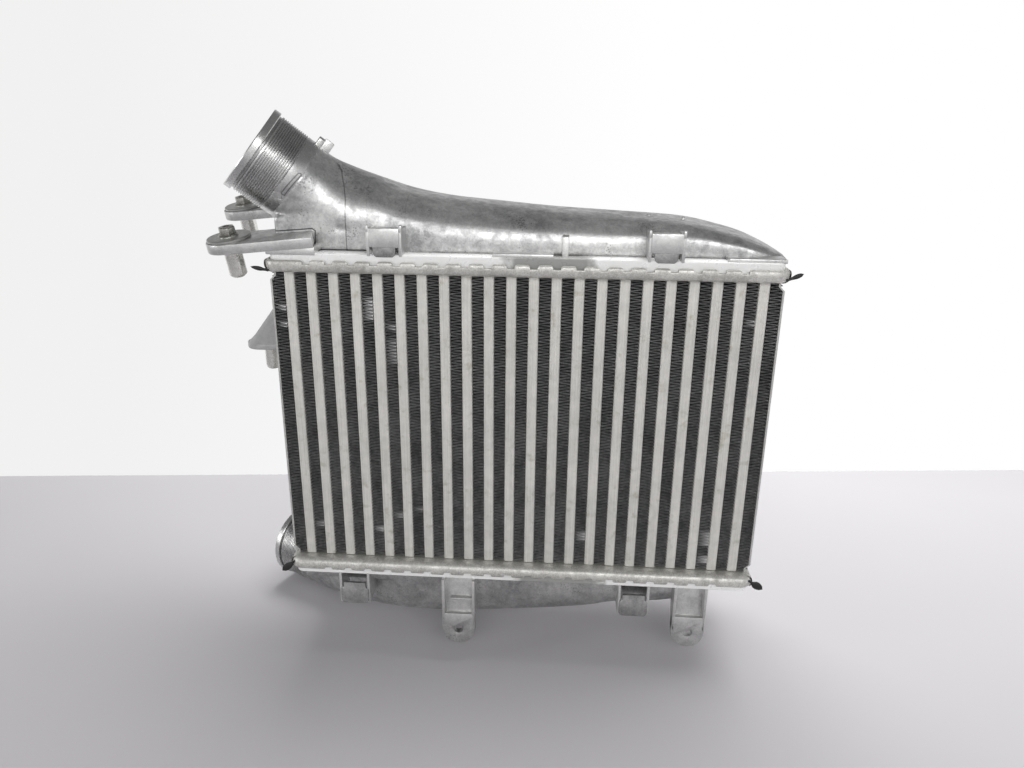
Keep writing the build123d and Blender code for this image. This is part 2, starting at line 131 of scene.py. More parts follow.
def add_node(tree: bpy.types.NodeTree, kind: str, values: dict | None = None,
             links: dict | None = None, **settings: object) -> bpy.types.Node:
    """Add a node with its settings, its sockets' values and its links.

    Args:
        tree: The node tree to add to.
        kind: Blender's name of the node's type.
        values: Socket names or numbers and the values they get.
        links: Socket names or numbers and the outputs they are joined to.
        settings: Properties of the node itself.

    Returns:
        The new node.
    """
    node = tree.nodes.new(kind)
    for key, value in settings.items():
        setattr(node, key, value)
    for socket, value in (values or {}).items():
        node.inputs[socket].default_value = value
    for socket, source in (links or {}).items():
        tree.links.new(source, node.inputs[socket])
    return node


class Side(Enum):
    """The end of the core that a tank, header or gasket sits on."""

    UPPER = "upper"
    LOWER = "lower"

    def at(self, x: float, y: float, z: float) -> Vector:
        """Place a point drawn for the upper end on this end."""
        return at(x, y, z if self is Side.UPPER else CORE_HEIGHT - z)


@dataclass(frozen=True)
class Finish:
    """A surface with blotches, grain, fine relief, painted shade in its concave corners and edges
    brightened as wear and painted highlight.

    The sizes are in millimetres and the colours are sRGB hex values.
    """

    name: str
    slot: str
    light: str
    dark: str
    metallic: float = 1.0
    smoothest: float = 0.3
    roughest: float = 0.5
    blotch: float = 25.0
    grain: float = 0.8
    grain_depth: float = 0.25
    relief: float = 0.05
    stretch: Point = (1.0, 1.0, 1.0)
    pores: float = 0.0
    # Strength of the brightened edges, as wear and painted highlight; any strength also brings
    # painted shade into concave corners
    edges: float = 0.0
    edge_colour: str = "#f2f2f0"
    stain: str = "#8d8a76"
    stain_share: float = 0.0

    def material(self) -> bpy.types.Material:
        """Return the finish as a material, made the first time it is asked for."""
        return bpy.data.materials.get(self.name) or self._build()

    def _build(self) -> bpy.types.Material:
        """Build the node tree of the finish.

        Returns:
            The new material.
        """
        made = bpy.data.materials.new(self.name)
        made.use_nodes = True
        tree = made.node_tree
        tree.nodes.clear()
        where = add_node(tree, "ShaderNodeTexCoord").outputs["Object"]
        along = add_node(tree, "ShaderNodeMapping", {"Scale": self.stretch}, {"Vector": where})
        blotches = add_node(tree, "ShaderNodeTexNoise",
                            {"Scale": 1 / (self.blotch * MM), "Detail": 5.0, "Roughness": 0.6},
                            {"Vector": where})
        grain = add_node(tree, "ShaderNodeTexNoise",
                         {"Scale": 1 / (self.grain * MM), "Detail": 3.0, "Roughness": 0.55},
                         {"Vector": along.outputs[0]})
        clouds = add_node(tree, "ShaderNodeTexNoise",
                          {"Scale": 6 / (self.blotch * MM), "Detail": 4.0, "Roughness": 0.65,
                           "Distortion": 0.4}, {"Vector": where})
        both = add_node(tree, "ShaderNodeMath", operation="ADD",
                        links={0: blotches.outputs["Fac"], 1: clouds.outputs["Fac"]})
        share = add_node(tree, "ShaderNodeMapRange",
                         {"From Min": 0.72, "From Max": 1.28, "To Min": 0.0, "To Max": 1.0},
                         {"Value": both.outputs[0]})
        speck = add_node(tree, "ShaderNodeMapRange",
                         {"From Min": 0.25, "From Max": 0.75, "To Min": -self.grain_depth,
                          "To Max": self.grain_depth}, {"Value": grain.outputs["Fac"]})
        mixed = add_node(tree, "ShaderNodeMath", operation="ADD", use_clamp=True,
                         links={0: share.outputs[0], 1: speck.outputs[0]})
        colour = add_node(tree, "ShaderNodeMix", data_type="RGBA",
                          values={6: linear(self.dark), 7: linear(self.light)},
                          links={0: mixed.outputs[0]}).outputs[2]
        if self.stain_share:
            colour = self._stained(tree, where, colour)
        if self.pores:
            colour = self._pored(tree, where, colour)
        # Edges brightened as wear and painted highlight, and painted shade in concave corners
        if self.edges:
            colour = self._edge_wear_highlight_and_corner_shade(tree, colour)
        colour = self._marked(tree, where, colour)
        roughness = add_node(tree, "ShaderNodeMapRange",
                             {"From Min": 0.35, "From Max": 0.65, "To Min": self.roughest,
                              "To Max": self.smoothest}, {"Value": clouds.outputs["Fac"]})
        bump = add_node(tree, "ShaderNodeBump", {"Strength": 1.0, "Distance": self.relief * MM},
                        {"Height": grain.outputs["Fac"]})
        shader = add_node(tree, "ShaderNodeBsdfPrincipled", {"Metallic": self.metallic},
                          {"Base Color": colour, "Roughness": roughness.outputs[0],
                           "Normal": bump.outputs[0]})
        add_node(tree, "ShaderNodeOutputMaterial", links={"Surface": shader.outputs[0]})
        return made

    def _stained(self, tree: bpy.types.NodeTree, where: bpy.types.NodeSocket,
                 colour: bpy.types.NodeSocket) -> bpy.types.NodeSocket:
        """Lay sparse stains, some 6 mm across, over a colour.

        Args:
            tree: The finish's node tree.
            where: The place on the piece, in object coordinates.
            colour: The colour so far.

        Returns:
            The stained colour.
        """
        spots = add_node(tree, "ShaderNodeTexNoise", {"Scale": 1 / (7.0 * MM), "Detail": 4.0},
                         {"Vector": where})
        mask = add_node(tree, "ShaderNodeMapRange",
                        {"From Min": 0.6, "From Max": 0.78, "To Min": 0.0,
                         "To Max": self.stain_share}, {"Value": spots.outputs["Fac"]})
        return add_node(tree, "ShaderNodeMix", data_type="RGBA", values={7: linear(self.stain)},
                        links={0: mask.outputs[0], 6: colour}).outputs[2]

    def _pored(self, tree: bpy.types.NodeTree, where: bpy.types.NodeSocket,
               colour: bpy.types.NodeSocket) -> bpy.types.NodeSocket:
        """Darken pores, about 0.7 mm across, that gather in patches.

        Args:
            tree: The finish's node tree.
            where: The place on the piece, in object coordinates.
            colour: The colour so far.

        Returns:
            The colour with its pores.
        """
        pits = add_node(tree, "ShaderNodeTexVoronoi", {"Scale": 1 / (1.6 * MM)},
                        {"Vector": where})
        patches = add_node(tree, "ShaderNodeTexNoise", {"Scale": 1 / (18.0 * MM), "Detail": 3.0},
                           {"Vector": where})
        reach = add_node(tree, "ShaderNodeMapRange",
                         {"From Min": 0.5, "From Max": 0.7, "To Min": 0.0, "To Max": 0.45},
                         {"Value": patches.outputs["Fac"]})
        inside = add_node(tree, "ShaderNodeMath", operation="LESS_THAN",
                          links={0: pits.outputs["Distance"], 1: reach.outputs[0]})
        mask = add_node(tree, "ShaderNodeMath", {1: self.pores}, {0: inside.outputs[0]},
                        operation="MULTIPLY")
        return add_node(tree, "ShaderNodeMix", data_type="RGBA", values={7: linear("#3c3c3b")},
                        links={0: mask.outputs[0], 6: colour}).outputs[2]

    def _edge_wear_highlight_and_corner_shade(self, tree: bpy.types.NodeTree,
                colour: bpy.types.NodeSocket) -> bpy.types.NodeSocket:
        """Brighten convex edges, as wear and painted highlight, and darken concave corners with
        painted shade.

        Args:
            tree: The finish's node tree.
            colour: The colour so far.

        Returns:
            The colour with its brightened edges and shaded corners.
        """
        bend = add_node(tree, "ShaderNodeNewGeometry").outputs["Pointiness"]
        # Convex edges brightened, as wear and painted highlight
        edge_wear_and_highlight = add_node(tree, "ShaderNodeMapRange",
                        {"From Min": 0.52, "From Max": 0.6, "To Min": 0.0, "To Max": self.edges},
                        {"Value": bend})
        # Painted shade in concave corners
        corner_shade = add_node(tree, "ShaderNodeMapRange",
                         {"From Min": 0.48, "From Max": 0.4, "To Min": 0.0, "To Max": 0.6},
                         {"Value": bend})
        bright = add_node(tree, "ShaderNodeMix", data_type="RGBA",
                          values={7: linear(self.edge_colour)},
                          links={0: edge_wear_and_highlight.outputs[0], 6: colour})
        return add_node(tree, "ShaderNodeMix", data_type="RGBA", values={7: linear("#42423f")},
                        links={0: corner_shade.outputs[0], 6: bright.outputs[2]}).outputs[2]

    def _marked(self, tree: bpy.types.NodeTree, where: bpy.types.NodeSocket,
                colour: bpy.types.NodeSocket) -> bpy.types.NodeSocket:
        """Return the colour with the marks that only a special finish has."""
        return colour


@dataclass(frozen=True)
class BandFinish(Finish):
    """A milled band whose middle, from X start to X end in core millimetres, is duller and darker.
    """

    start: float = -20.0
    end: float = 20.0
    dull: str = "#8b8b88"

    def _marked(self, tree: bpy.types.NodeTree, where: bpy.types.NodeSocket,
                colour: bpy.types.NodeSocket) -> bpy.types.NodeSocket:
        """Lay the dull stretch over the milled colour, with a ragged border.

        Args:
            tree: The finish's node tree.
            where: The place on the piece, in object coordinates.
            colour: The colour so far.

        Returns:
            The colour with the dull stretch.
        """
        ragged = add_node(tree, "ShaderNodeTexNoise", {"Scale": 1 / (12.0 * MM), "Detail": 3.0},
                          {"Vector": where})
        across = add_node(tree, "ShaderNodeSeparateXYZ", links={0: where}).outputs[0]
        middle = (DATUM.x + (self.start + self.end) / 2) * MM
        centred = add_node(tree, "ShaderNodeMath", {1: middle}, {0: across},
                           operation="SUBTRACT")
        distance = add_node(tree, "ShaderNodeMath", operation="ABSOLUTE",
                            links={0: centred.outputs[0]})
        edge = add_node(tree, "ShaderNodeMath", {1: 0.03, 2: -0.015},
                        {0: ragged.outputs["Fac"]}, operation="MULTIPLY_ADD")
        total = add_node(tree, "ShaderNodeMath", operation="ADD",
                         links={0: distance.outputs[0], 1: edge.outputs[0]})
        half = (self.end - self.start) / 2 * MM
        mask = add_node(tree, "ShaderNodeMapRange",
                        {"From Min": half + 4 * MM, "From Max": half - 4 * MM, "To Min": 0.0,
                         "To Max": 0.85}, {"Value": total.outputs[0]})
        return add_node(tree, "ShaderNodeMix", data_type="RGBA", values={7: linear(self.dull)},
                        links={0: mask.outputs[0], 6: colour}).outputs[2]


@dataclass(frozen=True)
class ScribedFinish(Finish):
    """A casting whose front carries dark parting and tool lines, and painted shade lines along a
    step and in a slot.

    Each line is a run of X and Z places in core millimetres, after its strength.
    """

    lines: tuple = ()
    width: float = 0.45
    near: float = 2.0
    reach: float = 30.0

    def _marked(self, tree: bpy.types.NodeTree, where: bpy.types.NodeSocket,
                colour: bpy.types.NodeSocket) -> bpy.types.NodeSocket:
        """Draw the lines on the surfaces in front of the reach.

        Args:
            tree: The finish's node tree.
            where: The place on the piece, in object coordinates.
            colour: The colour so far.

        Returns:
            The colour with the lines.
        """
        flat = add_node(tree, "ShaderNodeVectorMath", {1: (1.0, 0.0, 1.0)}, {0: where},
                        operation="MULTIPLY").outputs[0]
        depth = add_node(tree, "ShaderNodeSeparateXYZ", links={0: where}).outputs[1]
        middle = (self.near + self.reach) / 2 + DATUM.y
        front = add_node(tree, "ShaderNodeMath",
                         {1: middle * MM, 2: (self.reach - self.near) / 2 * MM}, {0: depth},
                         operation="COMPARE").outputs[0]
        for strength, *places in self.lines:
            points = [at(x, -DATUM.y, z) for x, z in places]
            near = None
            for start, end in zip(points, points[1:]):
                distance = self._distance(tree, flat, start, end)
                near = distance if near is None else add_node(
                    tree, "ShaderNodeMath", operation="MINIMUM",
                    links={0: near, 1: distance}).outputs[0]
            # Seam and tool lines are marks of the casting; the step and slot lines are painted
            # shade
            seam_and_shade_line = add_node(tree, "ShaderNodeMapRange",
                           {"From Min": self.width * 0.5 * MM, "From Max": self.width * 1.2 * MM,
                            "To Min": strength, "To Max": 0.0}, {"Value": near})
            mask = add_node(tree, "ShaderNodeMath", operation="MULTIPLY",
                            links={0: seam_and_shade_line.outputs[0], 1: front})
            colour = add_node(tree, "ShaderNodeMix", data_type="RGBA",
                              values={7: linear("#1e1e1e")},
                              links={0: mask.outputs[0], 6: colour}).outputs[2]
        return colour

    @staticmethod
    def _distance(tree: bpy.types.NodeTree, place: bpy.types.NodeSocket, start: Vector,
                  end: Vector) -> bpy.types.NodeSocket:
        """Return the distance of a place from a straight piece of a line.

        Args:
            tree: The finish's node tree.
            place: The place on the piece, with no Y.
            start: The piece's first end.
            end: Its other end.

        Returns:
            The distance, in metres.
        """
        away = add_node(tree, "ShaderNodeVectorMath", {1: start}, {0: place},
                        operation="SUBTRACT").outputs[0]
        along = (end - start).normalized()
        share = add_node(tree, "ShaderNodeVectorMath", {1: along}, {0: away},
                         operation="DOT_PRODUCT").outputs[1]
        kept = add_node(tree, "ShaderNodeClamp", {"Max": (end - start).length},
                        {"Value": share}).outputs[0]
        foot = add_node(tree, "ShaderNodeVectorMath", {0: along}, {3: kept},
                        operation="SCALE").outputs[0]
        return add_node(tree, "ShaderNodeVectorMath", links={0: away, 1: foot},
                        operation="DISTANCE").outputs[1]


@dataclass(frozen=True)
class FinFinish(Finish):
    """Thin dark fin sheet with a painted highlight on its bent edges, from an attribute of the
    mesh.
    """

    def _marked(self, tree: bpy.types.NodeTree, where: bpy.types.NodeSocket,
                colour: bpy.types.NodeSocket) -> bpy.types.NodeSocket:
        """Paint a highlight on the fins where they are bent over.

        Args:
            tree: The finish's node tree.
            where: The place on the piece, in object coordinates.
            colour: The colour so far.

        Returns:
            The brightened colour.
        """
        dent_highlight = add_node(tree, "ShaderNodeAttribute", attribute_name="dent_highlight")
        return add_node(tree, "ShaderNodeMix", data_type="RGBA", values={7: linear("#ffffff")},
                        links={0: dent_highlight.outputs["Fac"], 6: colour}).outputs[2]


# Lines on the castings, the parting seam and tool marks and painted shade along the step round the
# front arm and in the neck's slot: the strength of each, then its run of X and Z places
SEAM = (0.55, (-129.7, 286.9), (-124.0, 279.7), (-120.6, 270.5), (-118.9, 262.0),
        (-118.9, 229.2))
# Painted shadow along the step round the front arm and along the top of the foot
STEP_SHADOW = (0.9, (-166.8, 241.2), (-141.6, 243.4), (-139.6, 242.0), (-140.4, 231.9),
        (-138.3, 229.5), (-104.0, 229.5))
# Painted shade in a narrow slot on the neck
SLOT_SHADE = (0.6, (-158.4, 266.0), (-158.7, 266.8), (-147.2, 279.2), (-146.0, 279.0),
        (-145.6, 278.0), (-157.0, 265.2), (-158.4, 266.0))
TOOL_LINES = ((0.14, (-105.9, 276.0), (-104.7, 248.0)), (0.14, (-79.4, 270.0), (-79.5, 247.0)))

# Sand-cast aluminium: mid grey with a broken sheen, clouds of darker skin and clusters of pores,
# and a painted shadow line along the step round the front arm
CAST = ScribedFinish("sand_cast_skin", "cast_aluminium", "#d2d2d1", "#949495", metallic=0.9,
                     smoothest=0.3, roughest=0.44, blotch=34.0, grain=1.1, grain_depth=0.22,
                     relief=0.08, pores=0.4, edges=0.6, lines=(SEAM, STEP_SHADOW) + TOOL_LINES)
# Turned aluminium of the hose necks: cleaner and smoother than the casting round it, with painted
# shade in a slot on the upper neck
TURNED = ScribedFinish("turned_neck", "cast_aluminium", "#cfcfce", "#a6a6a7", metallic=1.0,
                       smoothest=0.22, roughest=0.34, blotch=16.0, grain=0.8, grain_depth=0.15,
                       relief=0.015, edges=0.3, lines=(SLOT_SHADE,), near=-30.0)
# Milled faces of the tank feet: painted almost white, for the soft light that they mirror, with
# the cutter's fine lines
BAND_UPPER = BandFinish("milled_upper_foot", "cast_aluminium", "#ffffff", "#f6f6f4",
                        metallic=0.1, smoothest=0.25, roughest=0.4, blotch=30.0, grain=0.8,
                        grain_depth=0.15, relief=0.015, stretch=(0.08, 1.0, 1.0), start=-8.0,
                        end=46.0)
BAND_LOWER = replace(BAND_UPPER, name="milled_lower_foot", start=-2.0, end=62.0)
# Drawn flat tubes: satin, with fine lines along the tube and a few oily stains
TUBE = Finish("drawn_tube_skin", "tube_aluminium", "#e6e4de", "#cfcec8", metallic=0.35,
              smoothest=0.4, roughest=0.55, blotch=50.0, grain=0.7, grain_depth=0.45, relief=0.02,
              stretch=(1.0, 1.0, 0.01), stain="#9c997f", stain_share=0.55)
# Thin fin sheet: mid grey, and dark in the depth between the folds
FIN = FinFinish("folded_fin_sheet", "fin_aluminium", "#949594", "#626363", metallic=0.5,
                smoothest=0.35, roughest=0.55, blotch=18.0, grain=2.0, grain_depth=0.4,
                relief=0.01)
# Pressed header sheet: dull mill finish with a rough speckle from the brazing furnace
HEADER = Finish("pressed_header_sheet", "header_aluminium", "#dddcd7", "#b3b2ad",
                metallic=0.6, smoothest=0.36, roughest=0.55, blotch=24.0, grain=0.9,
                grain_depth=0.5, relief=0.12, edges=0.5, stain="#77766e", stain_share=0.6,
                pores=0.2)
# Thin rolled plate on the core's sides, scratched along its length
PLATE = Finish("rolled_side_sheet", "plate_aluminium", "#d2d2cf", "#b1b1ae", metallic=0.6,
               smoothest=0.35, roughest=0.5, blotch=30.0, grain=0.8, grain_depth=0.3, relief=0.03,
               stretch=(1.0, 1.0, 0.05))
# Die-cast bracket: matt grey
BRACKET = Finish("die_cast_bracket", "bracket_aluminium", "#b6b6b6", "#9e9e9f", metallic=0.3,
                 smoothest=0.42, roughest=0.58, blotch=20.0, grain=0.8, grain_depth=0.2,
                 relief=0.04, edges=0.2)
# Bright turned steel of the locating pins
STEEL = Finish("turned_pin_steel", "turned_steel", "#efeeea", "#cccbc6", metallic=0.9,
               smoothest=0.16, roughest=0.3, blotch=9.0, grain=0.5, grain_depth=0.2,
               relief=0.02, edges=0.3)
# Plain washers, dark and dull on their faces, with rims brightened as wear and painted highlight
WASHER = Finish("plain_washer_steel", "turned_steel", "#838381", "#626260", metallic=0.9,
                smoothest=0.3, roughest=0.46, blotch=9.0, grain=0.6, grain_depth=0.3,
                relief=0.03, edges=0.5)
# Zinc-plated bolts, a little yellow, with painted shade round the flange and edges brightened as
# wear and painted highlight
PLATED = Finish("zinc_plated_steel", "plated_steel", "#a9a7a1", "#73726c", metallic=1.0,
                smoothest=0.2, roughest=0.4, blotch=5.0, grain=0.5, grain_depth=0.3,
                relief=0.03, edges=0.5)
# Black rubber, with the dull bloom of age
RUBBER = Finish("bloomed_rubber", "black_rubber", "#262626", "#151515", metallic=0.0,
                smoothest=0.4, roughest=0.6, blotch=5.0, grain=0.5, grain_depth=0.3, relief=0.03)


class Bench:
    """Modelling by hand with operators, one mesh at a time."""

    @staticmethod
    def rest() -> None:
        """Leave edit mode and select nothing."""
        if bpy.context.object and bpy.context.object.mode != "OBJECT":
            bpy.ops.object.mode_set(mode="OBJECT")
        bpy.ops.object.select_all(action="DESELECT")

    @classmethod
    def hold(cls, piece: bpy.types.Object) -> bpy.types.Object:
        """Select one piece alone and make it the active one.

        Args:
            piece: The piece to work on.

        Returns:
            The same piece.
        """
        cls.rest()
        piece.select_set(True)
        bpy.context.view_layer.objects.active = piece
        return piece

    @staticmethod
    def settle(name: str, frame: Matrix | None = None) -> bpy.types.Object:
        """Name the new primitive and put its place into its mesh.

        Args:
            name: The piece's name.
            frame: Where the piece goes, if it was drawn at the origin.

        Returns:
            The piece, with its object at the origin.
        """
        piece = bpy.context.object
        piece.name = piece.data.name = name
        if frame is not None:
            piece.matrix_world = frame
        bpy.ops.object.transform_apply(location=True, rotation=True, scale=True)
        return piece

    @classmethod
    def modify(cls, piece: bpy.types.Object, kind: str, **settings: object) -> bpy.types.Object:
        """Add a modifier to a piece, give it its settings and apply it.

        Args:
            piece: The piece to change.
            kind: Blender's name of the modifier's type.
            settings: Properties of the modifier.

        Returns:
            The same piece.
        """
        cls.hold(piece)
        modifier = piece.modifiers.new(kind.title(), kind)
        for key, value in settings.items():
            setattr(modifier, key, value)
        bpy.ops.object.modifier_apply(modifier=modifier.name)
        return piece

    @classmethod
    def soften(cls, piece: bpy.types.Object, width: float,
               segments: int = 2) -> bpy.types.Object:
        """Round the sharp edges of a piece by a width in millimetres."""
        return cls.modify(piece, "BEVEL", width=width * MM, segments=segments,
                          limit_method="ANGLE", angle_limit=math.radians(35))

    @classmethod
    def tidy(cls, piece: bpy.types.Object, fill: bool = True) -> bpy.types.Object:
        """Merge a piece's doubles, close its holes and turn its faces outwards.

        Args:
            piece: The piece to mend.
            fill: Whether its holes are closed.

        Returns:
            The same piece.
        """
        cls.hold(piece)
        bpy.ops.object.mode_set(mode="EDIT")
        bpy.ops.mesh.select_all(action="SELECT")
        bpy.ops.mesh.remove_doubles(threshold=1e-6)
        if fill:
            bpy.ops.mesh.select_all(action="SELECT")
            bpy.ops.mesh.fill_holes(sides=0)
        bpy.ops.mesh.select_all(action="SELECT")
        bpy.ops.mesh.normals_make_consistent(inside=False)
        bpy.ops.object.mode_set(mode="OBJECT")
        return piece

    @classmethod
    def block(cls, name: str, low: Vector, high: Vector, bevel: float = 0.0) -> bpy.types.Object:
        """Make a block between two corners, in metres, and round its edges.

        Args:
            name: The piece's name.
            low: One corner.
            high: The corner across from it.
            bevel: Width that its edges are rounded by, in millimetres.

        Returns:
            The block.
        """
        cls.rest()
        corner = Vector([min(a, b) for a, b in zip(low, high)])
        other = Vector([max(a, b) for a, b in zip(low, high)])
        bpy.ops.mesh.primitive_cube_add(size=1, location=(corner + other) / 2,
                                        scale=other - corner)
        piece = cls.settle(name)
        return cls.soften(piece, bevel) if bevel else piece

    @classmethod
    def skin(cls, name: str, rings: Sequence[Sequence[Vector]], fill: bool = True,
             open_rings: bool = False) -> bpy.types.Object:
        """Roll a grid into a shell through rings of points.

        Args:
            name: The piece's name.
            rings: Rings with the same count of points, in metres.
            fill: Whether the first and last rings are closed by faces.
            open_rings: Whether the rings are strips that don't close on themselves.

        Returns:
            The shell, with its faces outwards.
        """
        count = len(rings[0])
        cells = count - 1 if open_rings else count
        cls.rest()
        bpy.ops.mesh.primitive_grid_add(x_subdivisions=cells, y_subdivisions=len(rings) - 1)
        piece = cls.settle(name)
        places = [ring[i % count] for ring in rings for i in range(cells + 1)]
        for vertex, place in zip(piece.data.vertices, places, strict=True):
            vertex.co = place
        return cls.tidy(piece, fill)

    @classmethod
    def turned(cls, name: str, profile: Sequence[tuple[float, float]], frame: Matrix,
               steps: int = 48, hollow: bool = False) -> bpy.types.Object:
        """Turn a profile about the Z axis of a frame.

        Args:
            name: The piece's name.
            profile: Radius and height pairs in millimetres.
            frame: The frame's matrix, in metres.
            steps: Points round each ring.
            hollow: Whether the profile closes on itself round a bore.

        Returns:
            The turned piece.
        """
        rings = []
        for radius, height in list(profile) + ([profile[0]] if hollow else []):
            rings.append([frame @ Vector((radius * MM * math.cos(2 * math.pi * i / steps),
                                          radius * MM * math.sin(2 * math.pi * i / steps),
                                          height * MM)) for i in range(steps)])
        return cls.skin(name, rings, fill=not hollow)

    @classmethod
    def plate(cls, name: str, outline: Sequence[tuple[float, float]], thickness: float,
              frame: Matrix, bevel: float = 0.0) -> bpy.types.Object:
        """Extrude an outline into a plate.

        Args:
            name: The piece's name.
            outline: Corners in millimetres in the frame's X and Y.
            thickness: How far it is extruded along the frame's Z, in millimetres.
            frame: The frame's matrix, in metres.
            bevel: Width that its edges are rounded by, in millimetres.

        Returns:
            The plate.
        """
        cls.rest()
        bpy.ops.mesh.primitive_circle_add(vertices=len(outline), radius=1, fill_type="NGON")
        piece = bpy.context.object
        for vertex, (x, y) in zip(piece.data.vertices, outline, strict=True):
            vertex.co = (x * MM, y * MM, 0.0)
        bpy.ops.object.mode_set(mode="EDIT")
        bpy.ops.mesh.select_all(action="SELECT")
        bpy.ops.mesh.extrude_region_move(
            TRANSFORM_OT_translate={"value": (0.0, 0.0, thickness * MM)})
        bpy.ops.mesh.select_all(action="SELECT")
        bpy.ops.mesh.normals_make_consistent(inside=False)
        bpy.ops.object.mode_set(mode="OBJECT")
        piece = cls.settle(name, frame)
        return cls.soften(piece, bevel) if bevel else piece

    @classmethod
    def cut(cls, piece: bpy.types.Object, *tools: bpy.types.Object) -> bpy.types.Object:
        """Cut tools out of a piece and throw the tools away.

        Args:
            piece: The piece that is cut.
            tools: Closed meshes that are taken out of it.

        Returns:
            The same piece.
        """
        for tool in tools:
            cls.modify(piece, "BOOLEAN", operation="DIFFERENCE", object=tool, solver="EXACT")
            bpy.data.objects.remove(tool)
        return piece

    @classmethod
    def join(cls, pieces: Sequence[bpy.types.Object]) -> bpy.types.Object:
        """Join pieces into the first of them.

        Args:
            pieces: The pieces, of which the first keeps its name.

        Returns:
            The joined piece.
        """
        cls.hold(pieces[0])
        for piece in pieces[1:]:
            piece.select_set(True)
        if len(pieces) > 1:
            bpy.ops.object.join()
        return pieces[0]

    @classmethod
    def copy(cls, piece: bpy.types.Object, name: str, offset: Vector) -> bpy.types.Object:
        """Copy a piece with its own mesh, moved by an offset in metres.

        Args:
            piece: The piece to copy.
            name: The copy's name.
            offset: How far the copy is moved.

        Returns:
            The copy.
        """
        twin = piece.copy()
        twin.data = piece.data.copy()
        twin.name = twin.data.name = name
        bpy.context.scene.collection.objects.link(twin)
        twin.data.transform(Matrix.Translation(offset))
        return twin

    @classmethod
    def dress(cls, piece: bpy.types.Object, finish: Finish, *nodes: str,
              angle: float = 32.0) -> bpy.types.Object:
        """Give a piece its shading, its finish and its place on the body.

        Args:
            piece: The finished mesh.
            finish: The finish that it gets.
            nodes: CAD nodes that it stands for.
            angle: Edges that bend more than this many degrees stay sharp.

        Returns:
            The same piece.
        """
        cls.hold(piece)
        bpy.ops.object.shade_smooth_by_angle(angle=math.radians(angle))
        piece.data.materials.clear()
        piece.data.materials.append(finish.material())
        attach(piece, BODY)
        if nodes:
            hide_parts(*nodes)
        return piece


def frame_of(origin: Vector, across: Vector, axis: Vector) -> Matrix:
    """Matrix of a frame with an origin in metres, an X direction and a Z direction.

    Args:
        origin: Its origin, in metres.
        across: Direction that its X axis is nearest to.
        axis: Direction of its Z axis.

    Returns:
        The matrix.
    """
    z = axis.normalized()
    x = (across - z * across.dot(z)).normalized()
    y = z.cross(x)
    return Matrix.Translation(origin) @ Matrix((x, y, z)).transposed().to_4x4()


def rounded(half_x: float, half_y: float, radius: float, steps: int = 6) -> list[Point]:
    """Corners of a rounded rectangle, as X, Y and the angle of the outward normal.

    Args:
        half_x: Half its width.
        half_y: Half its height.
        radius: Radius of its corners.
        steps: Cuts of each corner.

    Returns:
        The corners, anticlockwise from the right.
    """
    points = []
    for quarter, (sx, sy) in enumerate(((1, 1), (-1, 1), (-1, -1), (1, -1))):
        for i in range(steps + 1):
            angle = math.pi / 2 * (quarter + i / steps)
            points.append((sx * (half_x - radius) + radius * math.cos(angle),
                           sy * (half_y - radius) + radius * math.sin(angle), angle))
    return points


